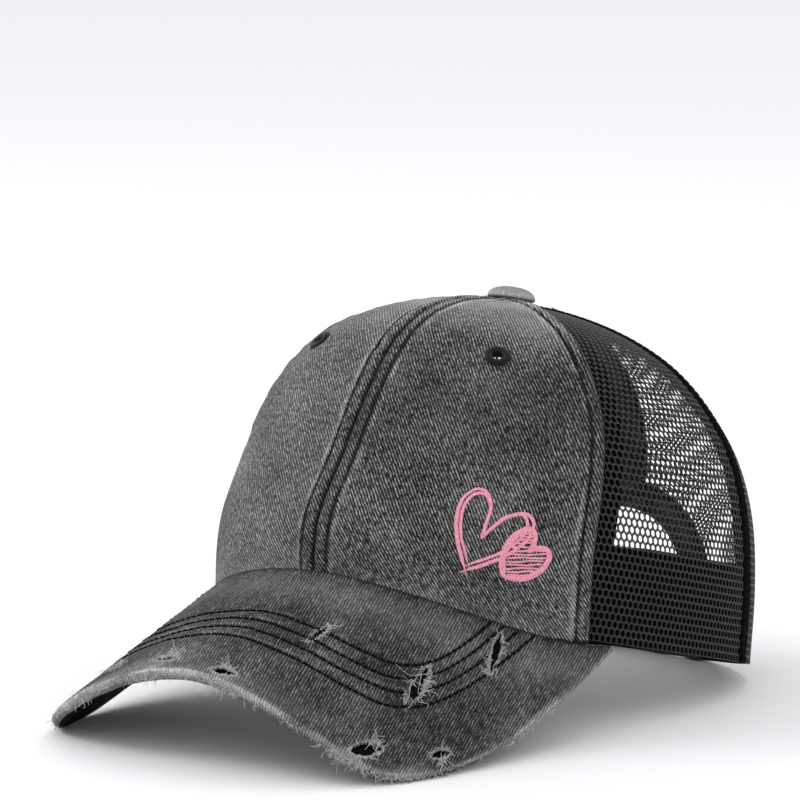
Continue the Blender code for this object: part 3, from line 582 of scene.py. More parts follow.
MATERIALS = {
    "front": twill("washed_twill_front", grey(0.004), grey(0.52), grey(0.62), 0.98 * MM, -0.90),
    "peak": twill("washed_twill_peak", grey(0.004), grey(0.46), grey(0.64), 1.12 * MM, -1.20,
                  mottle=1.15, bold=0.62),
    "tape": twill("washed_twill_tape", grey(0.012), grey(0.26), grey(0.62), 0.9 * MM, 0.6,
                  mottle=1.6, bold=0.5),
    "strap": twill("washed_twill_strap", grey(0.02), grey(0.13), grey(0.30), 0.8 * MM, 0.5,
                   mottle=0.5, bold=0.5),
    "button": twill("washed_twill_button", grey(0.19), grey(0.62), grey(0.78), 0.9 * MM, 0.7,
                    mottle=0.6, bold=0.35),
    "band": black_cloth("black_band_cloth", 0.0015, 0.9 * MM),
    "board": black_cloth("black_board_cloth", 0.007, 1.0 * MM),
    "net": net_fibre(),
    "black_thread": thread("black_thread", 0.001, 0.008, 0.0, 0.04),
    "grey_thread": thread("grey_thread", 0.035, 0.16),
    "pale_thread": thread("pale_thread", 0.38, 0.80),
    "print": pink_ink(),
    "enamel": dark_enamel(),
}

# Seams: they and the net end at a share near the apex, and a welt is raised on both sides of a
# front seam, as far as its line of stitches
SEAM_TOP = 0.955
WELT = 5.0 * MM
WELT_LIFT = 0.70 * MM
GROOVE = 0.7 * MM
PANEL_COLUMNS, PANEL_ROWS = 150, 132


def welt_lift(distance, along, seed):
    """Lift of the cloth beside a seam: raised between seam and stitches, pinched at both."""
    raised = smooth_step(distance / (1.3 * MM)) * (1 - smooth_step((distance - WELT) / (1.8 * MM)))
    pucker = cloth_noise(along / (3.2 * MM), distance / (4 * MM), seed)
    lift = WELT_LIFT * raised * (1 + 0.45 * pucker)
    lift -= 0.55 * MM * ridge(distance - WELT, GROOVE)
    spread = 0.16 * MM * ridge(distance - WELT, 6 * MM)
    return lift + spread * cloth_noise(along / (4.5 * MM), distance / (9 * MM), seed + 1)


def welt_wear_and_painted_light(distance, along, seed):
    """Wear and painted light beside a seam: pale on the crests beside its two grooves, rub wear
    with a painted highlight, and painted shade down in the grooves and in a band between seam and
    stitches.
    """
    patch = 0.55 + 0.7 * cloth_noise(along / (5 * MM), distance / (2.5 * MM), seed)
    # Pale crests: rub wear with a painted highlight.
    pale = 0.62 * patch * ridge(distance - WELT - 1.5 * MM, 1.1 * MM)
    pale += 0.40 * patch * ridge(distance - 0.55 * WELT, 1.0 * MM)
    # Painted shade in a band between the seam and its stitches.
    shade = 0.34 * ridge(distance - 0.4 * WELT, 2.3 * MM)
    # Painted shade down in the seam's groove and in the stitches' groove.
    uneven = 0.95 + 0.4 * cloth_noise(along / (2.6 * MM), distance / MM, seed + 2)
    dark = 1.3 * ridge(distance, 0.65 * MM) + 1.5 * uneven * ridge(distance - WELT, 0.6 * MM)
    return pale - dark - shade


def crowded(count, bias=0.6):
    """Shares from 0 to 1, closer together near both ends: a blend of a cosine and an even run."""
    even = np.linspace(0, 1, count)
    return bias * (1 - np.cos(np.pi * even)) / 2 + (1 - bias) * even


def panel_grid(side):
    """Bearings and shares of a front panel from its centre seam to its side seam, hem to apex."""
    across = crowded(PANEL_COLUMNS)[None, :]
    bearing = side * FRONT_SEAM * across
    low = share_at_height(hem_height(bearing))
    share = low + (APEX_SHARE - low) * np.linspace(0, 1, PANEL_ROWS)[:, None]
    gap = 0.15 * MM / around_rate(bearing, share)
    return bearing + side * gap * (1 - 2 * across), share


def front_panel_lift(from_centre, from_side, up, side):
    """Lift of a front panel: welts at both seams, and shallow dents where the cloth hangs slack."""
    lift = welt_lift(from_centre, up, 11) + welt_lift(from_side, up, 23 + side)
    slack = smooth_step(from_centre / (14 * MM)) * smooth_step(from_side / (14 * MM))
    dents = 0.9 * cloth_noise(from_centre / (34 * MM) + 7 * side, up / (40 * MM), 31)
    dents += 0.35 * cloth_noise(from_centre / (13 * MM) + 3 * side, up / (15 * MM), 37)
    return lift + slack * dents * MM


def make_front_panels():
    """Two twill panels over the peak, each an even grid with Solidify, holed for its eyelet."""
    made = {}
    for side, word in SIDES:
        bearing, share = panel_grid(side)
        base = crown_surface(bearing, share)
        from_centre = lengths_along(base, 1)
        from_side = from_centre[:, -1:] - from_centre
        up = lengths_along(base, 0)
        lift = front_panel_lift(from_centre, from_side, up, side)
        points = crown_point(bearing, share, lift)
        # A thin line of painted shade at the hem, where the panel meets the peak, under a faint
        # pale band.
        hem = 0.12 * ridge(up - 4 * MM, 3.5 * MM) - 1.2 * ridge(up, 0.6 * MM)
        wear_and_painted_light = welt_wear_and_painted_light(from_centre, up, 41) + 0.8 * welt_wear_and_painted_light(from_side, up, 43)
        wear_and_painted_light += 0.55 * ridge(from_side, 0.8 * MM) + hem
        # Paler towards the apex, in patches.
        patch = cloth_noise(from_centre / (8 * MM), up / (8 * MM), 47)
        wear_and_painted_light += (0.50 + 0.25 * patch) * smooth_step((share - 0.52) / 0.33)
        # Painted light: the wearer's right panel, on the key light's side, is made a little paler
        # all over, and the left one gets painted shade round mid-height.
        wear_and_painted_light += 0.10 if side < 0 else -0.34 * ridge(share - 0.40, 0.16)
        centre, normal = eyelet_place(side)
        far = np.linalg.norm(base - centre, axis=-1)
        faces = grid_quads(*bearing.shape)
        faces = faces[far.reshape(-1)[faces].max(axis=1) > EYELET_HOLE_CUT]
        if side < 0:
            faces = faces[:, ::-1]
        cloth = np.stack([side * from_centre, up], axis=-1)
        name = "front_twill_" + word
        mesh = make_mesh(name, points, faces, cloth, wear_and_painted_light)
        thicken(make_piece(name, mesh, MATERIALS["front"], "washed_twill", "front_panel_" + word),
                TWILL_THICKNESS)
        made[side] = points
    return made


# Eyelets
EYELET_BEARING = np.radians(32.7)
EYELET_HEIGHT = 88.0 * MM
EYELET_RADIUS = 4.25 * MM
EYELET_HOLE = 1.5 * MM
EYELET_HOLE_CUT = 2.6 * MM
EYELET_SIDES = 48


def eyelet_place(side):
    """Centre of an eyelet on the crown, and the way that it faces."""
    share = share_at_height(np.array(EYELET_HEIGHT))
    bearing = np.array(side * EYELET_BEARING)
    return crown_surface(bearing, share), crown_normal(bearing, share)


def turned(profile, sides, centre, normal):
    """Points of a profile of radius and height spun round a direction through a centre, the first
    ones again at the end."""
    crosswise = unit(np.cross(normal, (1.0, 0.0, 0.0)))
    other = np.cross(normal, crosswise)
    angle = np.linspace(0, 2 * np.pi, sides, endpoint=False)
    around = np.cos(angle)[:, None] * crosswise + np.sin(angle)[:, None] * other
    profile = np.asarray(profile)
    points = centre + profile[:, None, :1] * around[None] + profile[:, None, 1:] * normal
    return np.concatenate([points, points[:1]], axis=0)


def make_eyelets():
    """Ring with a rolled outer edge, a dished face and an inner flange, turned about the panel."""
    angle = np.linspace(0, np.pi, 13)
    roll = (EYELET_RADIUS - EYELET_HOLE) / 2
    middle = (EYELET_RADIUS + EYELET_HOLE) / 2
    crown_side = [(middle - roll * np.cos(a), 0.25 * MM + 1.05 * MM * np.sin(a)) for a in angle]
    inner = [(2.4, -0.1), (2.4, -1.7), (3.5, -1.8), (3.5, -2.2), (1.9, -2.2), (1.75, -1.6)]
    profile = crown_side[1:] + [(r * MM, z * MM) for r, z in inner]
    for side, word in SIDES:
        centre, normal = eyelet_place(side)
        points = turned(profile, EYELET_SIDES, centre, normal)
        rows, columns = points.shape[:2]
        faces = grid_quads(rows - 1, columns, closed=True)
        first = np.arange(columns)
        last = (rows - 2) * columns + first
        closing = np.stack([last, np.roll(last, -1), np.roll(first, -1), first], axis=-1)
        over, round_it = np.linspace(0, 20 * MM, rows), np.linspace(0, 26 * MM, columns)
        cloth = np.stack(np.meshgrid(over, round_it, indexing="ij"), axis=-1)
        name = "eyelet_ring_" + word
        mesh = make_mesh(name, points, np.concatenate([faces, closing]), cloth)
        make_piece(name, mesh, MATERIALS["enamel"], "dark_eyelet", "eyelet_" + word)


# Net: how far apart its meshes are across and up, its thickness and place, the size of a hole as
# shares of the way out to the points round it, and how far the points step up and down
NET_PITCH = 2.35 * MM
NET_ROW = 2.45 * MM
NET_THICKNESS = 0.5 * MM
NET_LIFT = -0.75 * MM
HOLE_CORNER, HOLE_ACROSS, HOLE_UP = 0.63, 0.62, 0.73
ZIGZAG = 0.15
NET_ROWS = 60
NET_BACK_MIDDLE = np.radians(146)


def net_grid(side, middle, low, high_edge):
    """Bearing and share of the net's lattice points, half a mesh apart, kept between two edges.

    Rows stand along the wall and columns round it from the middle. Between rows the points step up
    and down in turn, so that the meshes, laid like bricks, become six-sided.
    """
    shares, lengths = wall_lengths(middle)
    heights = np.arange(0, 2 * NET_ROWS + 1) * NET_ROW / 2
    heights = heights[heights < np.interp(SEAM_TOP, shares, lengths)]
    heights = heights[: len(heights) - (len(heights) + 1) % 2]
    columns = 2 * int(90 * MM / NET_PITCH)
    offset = np.arange(-columns, columns + 1) * NET_PITCH / 2
    sweep = np.linspace(middle - 1.2, min(middle + 1.2, np.pi), 240)
    bearings = []
    level = np.interp(heights, lengths, shares)
    for share in level:
        rate = around_rate(sweep, np.full_like(sweep, share))
        length = np.concatenate(([0], np.cumsum((rate[1:] + rate[:-1]) / 2 * np.diff(sweep))))
        length -= np.interp(middle, sweep, length)
        bearings.append(np.interp(offset, length, sweep, left=-9, right=9))
    bearing = np.array(bearings)
    high = np.array([high_edge(share) for share in level])[:, None]
    slack = 0.5 * NET_PITCH / around_rate(np.clip(bearing, low, high), level[:, None])
    inside = (bearing > low - 0.6 * slack) & (bearing < high + 0.6 * slack)
    row, column = np.indices(bearing.shape)
    step = np.where((row // 2 + column) % 2, -1.0, 1.0) * (row % 2 == 0)
    step[[0, -1]] = 0
    share = np.interp(heights[:, None] + ZIGZAG * NET_ROW * step, lengths, shares)
    return side * np.clip(bearing, low, high), share, inside


def net_mesh(name, side, bearing, share, inside):
    """Net: each mesh is a rounded hole in a square, with raised strands shared by its neighbours.

    The square's eight points lie on the front and the back of the net and the hole's eight points
    half way between them, so that a strand is lens-shaped across. Walls close its outer edges.
    """
    rows, columns = bearing.shape
    front = crown_point(bearing, share, np.array(NET_LIFT + NET_THICKNESS / 2))
    back = crown_point(bearing, share, np.array(NET_LIFT - NET_THICKNESS / 2))
    middle = crown_point(bearing, share, np.array(NET_LIFT))
    up = lengths_along(middle, 0)
    around = lengths_along(middle, 1)
    r, c = np.meshgrid(np.arange(1, rows - 1, 2), np.arange(1, columns - 1), indexing="ij")
    keep = inside[r, c] & ((r // 2 + c) % 2 == 1)
    r, c = r[keep], c[keep]
    steps = [(-1, -1), (-1, 0), (-1, 1), (0, 1), (1, 1), (1, 0), (1, -1), (0, -1)]
    ring = np.stack([(r + dr) * columns + c + dc for dr, dc in steps], axis=-1)
    shares = [HOLE_CORNER if dr and dc else HOLE_ACROSS if dc else HOLE_UP for dr, dc in steps]
    shrink = np.array(shares)[None, :, None]
    corners = middle.reshape(-1, 3)[ring]
    heart = corners.mean(axis=1, keepdims=True)
    hole = heart + (corners - heart) * shrink
    count = rows * columns
    cells = len(r)
    hole_number = 2 * count + np.arange(cells * 8).reshape(cells, 8)
    ring_next, hole_next = np.roll(ring, -1, axis=1), np.roll(hole_number, -1, axis=1)
    front_faces = np.stack([ring, ring_next, hole_next, hole_number], axis=-1).reshape(-1, 4)
    back_faces = np.stack(
        [ring + count, hole_number, hole_next, ring_next + count], axis=-1).reshape(-1, 4)
    pairs = np.stack([ring, ring_next], axis=-1).reshape(-1, 2)
    key = np.sort(pairs, axis=1)
    _, first, tally = np.unique(key, axis=0, return_index=True, return_counts=True)
    rim = pairs[first[tally == 1]]
    walls = np.stack([rim[:, 1], rim[:, 0], rim[:, 0] + count, rim[:, 1] + count], axis=-1)
    faces = np.concatenate([front_faces, back_faces, walls])
    if side < 0:
        faces = faces[:, ::-1]
    points = np.concatenate([front.reshape(-1, 3), back.reshape(-1, 3), hole.reshape(-1, 3)])
    flat = np.stack([around, up], axis=-1).reshape(-1, 2)
    cloth = np.concatenate([flat, flat, flat[ring].reshape(-1, 2)])
    return make_mesh(name, points, faces, cloth)


def opening_outline(angle, beyond=0.0):
    """Rear opening's edge, a superellipse, or a place a distance beyond it along its normal."""
    power = 2 / OPENING_POWER
    cosine, sine = np.cos(angle), np.abs(np.sin(angle))
    x = OPENING_HALF_WIDTH * np.sign(cosine) * np.abs(cosine) ** power
    length = OPENING_HEIGHT * sine ** power
    out_x = np.sign(cosine) * np.abs(cosine) ** (2 - power) / OPENING_HALF_WIDTH
    out_length = sine ** (2 - power) / OPENING_HEIGHT
    norm = np.hypot(out_x, out_length)
    return x + out_x / norm * beyond, length + out_length / norm * beyond


def slot_outline(share, beyond=0.0):
    """Slot's edge, a pointed oval, or a place beyond it; its tapes end straight across."""
    swell = SLOT_HALF_WIDTH - SLOT_END_HALF_WIDTH
    x = SLOT_END_HALF_WIDTH + swell * np.sin(np.pi * share)
    length = SLOT_BOTTOM + (SLOT_TOP - SLOT_BOTTOM) * share
    lean = swell * np.pi * np.cos(np.pi * share) / (SLOT_TOP - SLOT_BOTTOM)
    norm = np.sqrt(1 + lean ** 2)
    return x + beyond / norm, np.clip(length - beyond * lean / norm, SLOT_BOTTOM, SLOT_TOP)


def back_panel_edge(share):
    """Bearing of a back panel's inner edge, hidden in its bindings or, between them, at the middle
    of the back."""
    length = float(np.interp(share, BACK_SHARES, BACK_LENGTHS))
    tuck = 2.2 * MM
    if length < OPENING_HEIGHT:
        opened = 1 - (length / OPENING_HEIGHT) ** OPENING_POWER
        x = OPENING_HALF_WIDTH * opened ** (1 / OPENING_POWER)
    elif SLOT_BOTTOM < length < SLOT_TOP:
        x = slot_outline((length - SLOT_BOTTOM) / (SLOT_TOP - SLOT_BOTTOM))[0]
    else:
        x, tuck = 0.0, 0.3 * MM
    return float(back_bearing(np.array(x + tuck), np.array(share)))


def make_nets():
    """Four net panels, each between two seams or from a seam to the bindings."""
    panels = (("side", (FRONT_SEAM + REAR_SEAM) / 2, FRONT_SEAM + 0.003, lambda share: REAR_SEAM),
              ("back", NET_BACK_MIDDLE, REAR_SEAM, back_panel_edge))
    for side, word in SIDES:
        for part, *edges in panels:
            name = part + "_" + word
            mesh = net_mesh("net_" + name, side, *net_grid(side, *edges))
            make_piece("net_" + name, mesh, MATERIALS["net"], "black_net", "mesh_" + name)


# Middles of a binding's two leaves, as lifts, and how far in from its edge it is stitched
TAPE_LIFT, TAPE_INNER_LIFT = 0.75 * MM, -2.2 * MM
TAPE_STITCH_INSET = 1.7 * MM


def folded_tape(outline, width, ripple):
    """Tape folded over an edge: outer leaf, half-round fold and inner leaf, as a grid of points
    whose columns run across the tape. Ripple puckers the outer leaf."""
    leaf = np.linspace(1, 0, 7)
    turn = np.linspace(0, np.pi, 7)[1:-1]
    middle, half = (TAPE_LIFT + TAPE_INNER_LIFT) / 2, (TAPE_LIFT - TAPE_INNER_LIFT) / 2
    beyond = [width * s for s in leaf] + [-half * np.sin(a) for a in turn]
    beyond += [width * s for s in leaf[::-1]]
    lift = [TAPE_LIFT] * 7 + [middle + half * np.cos(a) for a in turn] + [TAPE_INNER_LIFT] * 7
    grid = []
    for step, (out, up) in enumerate(zip(beyond, lift)):
        x, length = outline(out)
        wave = ripple * np.sin(np.pi * leaf[step]) if step < 7 else 0 * ripple
        grid.append(back_point(x, length, up + wave))
    return np.stack(grid, axis=1)


def make_tape(name, node, outline, width, count, flip):
    """One binding: a folded tape with a pale raw edge and a line of stitches near it."""
    along = np.linspace(0, 1, count)
    ripple = 0.22 * MM * cloth_noise(along * count / 7, along * 3, 57)
    grid = folded_tape(outline, width, ripple)
    run = lengths_along(grid, 0)
    across = lengths_along(grid, 1)
    wear_and_painted_light = 0.9 * ridge(across, 0.8 * MM) + 0.45 * ridge(across - width * 0.98, 2.4 * MM)
    # Painted shade along the line of stitches.
    wear_and_painted_light -= 0.8 * ridge(across - TAPE_STITCH_INSET, 0.35 * MM)
    wear_and_painted_light += 0.35 * cloth_noise(run / (5 * MM), across / (4 * MM), 63)
    make_sheet(name, grid, "tape", "grey_tape", (node,), 0.7 * MM, wear_and_painted_light=wear_and_painted_light, flip=flip, side=0.0)
    edge = outline(width - TAPE_STITCH_INSET)
    sew(name + "_stitches", back_point(*edge, np.array(1.22 * MM)), back_normal(*edge),
        2.6 * MM, 0.30 * MM, "grey_thread", "grey_tape")
    rim = outline(width + 0.1 * MM)
    overlock(name + "_edge", back_point(*rim, np.array(TAPE_LIFT)), back_normal(*rim))


def back_normal(x, length):
    """Outward direction of the crown's back at a sideways place and a length up the cloth."""
    share = np.interp(length, BACK_LENGTHS, BACK_SHARES)
    return crown_normal(back_bearing(x, share), share)


def make_bindings():
    """Tapes round the rear opening and along both edges of the slot."""
    around = np.linspace(0, np.pi, 260)
    make_tape("opening_tape", "opening_binding", lambda out: opening_outline(around, out),
              BINDING_WIDTH, 260, flip=False)
    share = np.linspace(0, 1, 150)
    for side, word in SIDES:
        def edge(out):
            x, length = slot_outline(share, out)
            return side * x, length
        make_tape("slot_tape_" + word, "slot_binding_" + word, edge, SLOT_BINDING_WIDTH, 150,
                  flip=side < 0)


def resample(points, normals, spacing):
    """Places at even spacing along a path, with its direction and outward direction there."""
    length = lengths_along(points, 0)
    count = max(int(length[-1] / spacing), 1)
    at = (np.arange(count) + 0.5) * length[-1] / count

    def between(values, ahead=0.0):
        return np.stack([np.interp(at + ahead, length, values[:, k]) for k in range(3)], axis=-1)

    tangent = unit(between(points, spacing / 4) - between(points, -spacing / 4))
    normal = between(normals)
    normal -= tangent * (normal * tangent).sum(-1, keepdims=True)
    return between(points), tangent, unit(normal)


def beads(centres, tangents, normals, half_length, radius, rings=5, sides=6):
    """Points and faces of many small capsules: circles on a half-ellipse, lying along tangents."""
    angle = np.linspace(0.06 * np.pi, 0.94 * np.pi, rings)
    along, thick = -np.cos(angle) * half_length, np.sin(angle) ** 0.6 * radius
    spin = np.linspace(0, 2 * np.pi, sides, endpoint=False)
    side = np.cross(tangents, normals)
    ring = np.cos(spin)[:, None, None] * side + np.sin(spin)[:, None, None] * normals
    points = centres + along[:, None, None, None] * tangents + thick[:, None, None, None] * ring
    count = len(centres)
    points = points.transpose(2, 0, 1, 3).reshape(count, -1, 3)
    body = grid_quads(rings, sides, closed=True)
    size = rings * sides
    faces = (np.arange(count)[:, None, None] * size + body).reshape(-1, 4)
    caps = []
    for start, order in ((0, slice(None, None, -1)), ((rings - 1) * sides, slice(None))):
        loop = np.arange(start, start + sides)[order]
        caps.append([loop[0], loop[1], loop[2], loop[3]])
        caps.append([loop[0], loop[3], loop[4], loop[5]])
    caps = (np.arange(count)[:, None, None] * size + np.array(caps)).reshape(-1, 4)
    return points.reshape(-1, 3), np.concatenate([faces, caps])


def lay_thread(name, places, half_length, radius, finish, slot):
    """Piece of thread: one capsule at each place, along the direction there."""
    points, faces = beads(*places, half_length, radius)
    make_piece(name, make_mesh(name, points, faces, points[:, :2]), MATERIALS[finish], slot)


def sew(name, path, normals, spacing, radius, finish, slot):
    """Line of stitches: capsules end to end along a path, each sunk a little at its ends."""
    lay_thread(name, resample(path, normals, spacing), spacing * 0.46, radius, finish, slot)


def overlock(name, path, normals):
    """Pale thread wound over a raw edge: short capsules laid slanting across the path."""
    here, tangent, normal = resample(path, normals, 0.75 * MM)
    slanted = tangent * 0.65 + np.cross(tangent, normal) * 0.76
    lay_thread(name, (here, slanted, normal), 0.62 * MM, 0.30 * MM, "pale_thread", "grey_tape")


# Sweatband, seam tapes inside the crown and the ridges of the rear seams outside it
SWEATBAND_HEIGHT = 32.5 * MM
TAPE_WIDTH, SEAM_HALF_WIDTH = 12 * MM, 3.4 * MM


def make_sweatband():
    """Black band inside the rim, from one side of the rear opening to the other."""
    along = np.linspace(-1, 1, 300)[None, :]
    upward = np.linspace(0, 1, 26)[:, None]
    share = share_at_height(SWEATBAND_HEIGHT * upward)
    opened = 1 - (SWEATBAND_HEIGHT * upward / OPENING_HEIGHT) ** OPENING_POWER
    end_x = OPENING_HALF_WIDTH * opened ** (1 / OPENING_POWER) + BINDING_WIDTH + 2 * CLEARANCE
    bearing = along * back_bearing(end_x, share)
    level = hem_height(bearing) + SWEATBAND_HEIGHT * upward
    lift = -TWILL_THICKNESS - 0.5 * MM - 0.25 * MM * np.sin(np.pi * upward)
    lift = lift - 0.3 * MM * ridge(upward - 0.88, 0.03)
    points = crown_point(bearing, share_at_height(level), lift)
    make_sheet("sweatband_cloth", points, "band", "black_band", ("sweatband",), 1.8 * MM)


def make_seam_tapes():
    """Black tapes inside the crown beside the net's side panels, each a shallow folded ribbon."""
    across = np.linspace(-0.5, 0.5, 9)[None, :]
    for seam, part in ((FRONT_SEAM, "front"), (REAR_SEAM, "rear")):
        for side, word in SIDES:
            low = share_at_height(32.6 * MM + hem_height(np.array(seam)))
            share = (low + (0.93 - low) * np.linspace(0, 1, 120))[:, None]
            offset = TAPE_WIDTH * across + (2.5 * MM if part == "front" else 0.0)
            bearing = side * (seam + offset / around_rate(np.array(side * seam), share))
            lift = -2.0 * MM - 0.3 * MM * np.cos(np.pi * across) + 0 * share
            make_sheet("inner_tape_" + part + "_" + word, crown_point(bearing, share, lift), "band",
                       "black_band", ("seam_tape_" + part + "_" + word,), 0.8 * MM,
                       flip=side < 0)


def make_rear_seams():
    """Folded seam of the net outside, where the side and back nets join: a low double ridge."""
    across = np.linspace(-1, 1, 13)[None, :]
    for side, word in SIDES:
        share = np.linspace(0.0, SEAM_TOP, 150)[:, None]
        half_width = SEAM_HALF_WIDTH / around_rate(np.array(side * REAR_SEAM), share)
        bearing = side * (REAR_SEAM + half_width * across)
        welt = np.cos(np.pi * (np.abs(across) - 0.5)) ** 2 * (np.abs(across) < 1)
        lift = -0.42 * MM + 0.5 * MM * welt + 0 * share
        name = "net_seam_" + word
        make_sheet(name, crown_point(bearing, share, lift), "band", "black_band", (), 0.5 * MM,
                   flip=side < 0)
        for place, offset in (("_fore", -0.625), ("_rear", 0.625)):
            turn = side * (REAR_SEAM + half_width[:, 0] * offset)
            path = crown_point(turn, share[:, 0], np.array(0.1 * MM))
            sew(name + place + "_stitches", path, crown_normal(turn, share[:, 0]), 2.6 * MM,
                0.22 * MM, "black_thread", "black_band")


# Peak: stitched rows lie these distances in from the outer edge, each in a dark groove
ROW_INSETS = (20.4 * MM, 25.2 * MM, 29.9 * MM, 34.7 * MM)
ROW_HALF_WIDTH = 0.58 * MM
COVER_ROWS, COVER_COLUMNS = 400, 112

# Rips: place round the peak and across it, length as a share of the peak's reach, width as a share
# of the length, heading in degrees, and where along it and on which side its yarns are tangled
RIPS = [dict(zip(("round", "across", "length", "width", "heading", "fuzz"), rip)) for rip in (
    (0.20, 0.46, 0.165, 0.18, 86.0, (0.30, -1)),
    (0.48, 0.51, 0.281, 0.20, 111.0, (0.05, -1)),
    (0.65, 0.22, 0.248, 0.19, 127.0, (-0.45, 1)),
    (0.43, 0.92, 0.215, 0.28, 55.0, (0.25, 1)),
    (0.58, 0.88, 0.149, 0.18, 62.0, (0.10, -1)),
    (0.08, 0.93, 0.165, 0.24, 8.0, (0.05, 1)),
    (-0.09, 0.89, 0.182, 0.165, -4.0, (0.10, 1)),
    (-0.26, 0.84, 0.149, 0.18, -24.0, (0.0, 1)),
)]

# Fringes along the peak's edge: centre and spread as shares round the peak, and count of yarns;
# the last is the thin fuzz all along
FRINGES = ((-0.29, 0.030, 120), (-0.10, 0.025, 150), (0.09, 0.025, 170), (0.41, 0.022, 190),
           (0.53, 0.040, 80), (0.80, 0.060, 50), (0.0, 0.5, 110))


def rip_place(rip):
    """Flat centre of a rip on the peak, the directions along and across it, and its length."""
    arc, y, _ = peak_flat(np.array(rip["round"] * QUARTER_TURN), np.array(rip["across"]))
    heading = np.radians(rip["heading"])
    along = np.array([np.cos(heading), np.sin(heading)])
    across = np.array([-along[1], along[0]])
    return np.array([float(arc), float(y)]), along, across, rip["length"] * PEAK_REACH


def rip_half_width(rip, a, seed):
    """Half width of a rip at a place along it: a pointed oval with a ragged edge."""
    length = rip["length"] * PEAK_REACH
    share = np.clip(np.abs(a) / (length / 2), 0, 1)
    ragged = 0.30 * MM * cloth_noise(a / (0.8 * MM), np.full_like(a, 0.5), seed)
    ragged += 0.30 * MM * cloth_noise(a / (2.3 * MM), np.full_like(a, 0.5), seed + 20)
    return (rip["width"] * length / 2 + 0.3 * MM) * (1 - share ** 2.2) + ragged * (1 - share ** 4)


def rip_distance(arc, y):
    """Distance of each place from the nearest rip's edge, negative inside it."""
    nearest = np.full(arc.shape, 1.0)
    for seed, rip in enumerate(RIPS):
        centre, along, across, length = rip_place(rip)
        offset = np.stack([arc, y], axis=-1) - centre
        a, b = offset @ along, offset @ across
        side_gap = np.abs(b) - rip_half_width(rip, a, seed)
        end_gap = np.abs(a) - length / 2
        nearest = np.minimum(nearest, np.maximum(side_gap, end_gap))
    return nearest


def row_spread(turn):
    """How much further in from the edge the stitched rows run towards the peak's sides, where they
    turn in and end at the crown."""
    side = np.abs(turn) / QUARTER_TURN
    return 1 + 0.12 * side ** 2 + 0.52 * smooth_step((side - 0.37) / 0.39)


def peak_lift(turn, edge_distance, run):
    """Lift of the peak's cover: grooves at the stitched rows, soft welts between, slight waves."""
    lift = np.zeros_like(edge_distance)
    inward = edge_distance / row_spread(turn)
    for inset in ROW_INSETS:
        lift -= 0.38 * MM * ridge(edge_distance - inset * row_spread(turn), 0.8 * MM)
    rows = smooth_step((inward - 18 * MM) / (3 * MM))
    rows *= 1 - smooth_step((inward - 35 * MM) / (3 * MM))
    lift += 0.16 * MM * rows * cloth_noise(run / (3.0 * MM), edge_distance / (4.7 * MM), 71)
    lift += 0.35 * MM * cloth_noise(run / (24 * MM), edge_distance / (18 * MM), 73)
    lift += 0.18 * MM * cloth_noise(run / (7 * MM), edge_distance / (6 * MM), 79)
    return lift


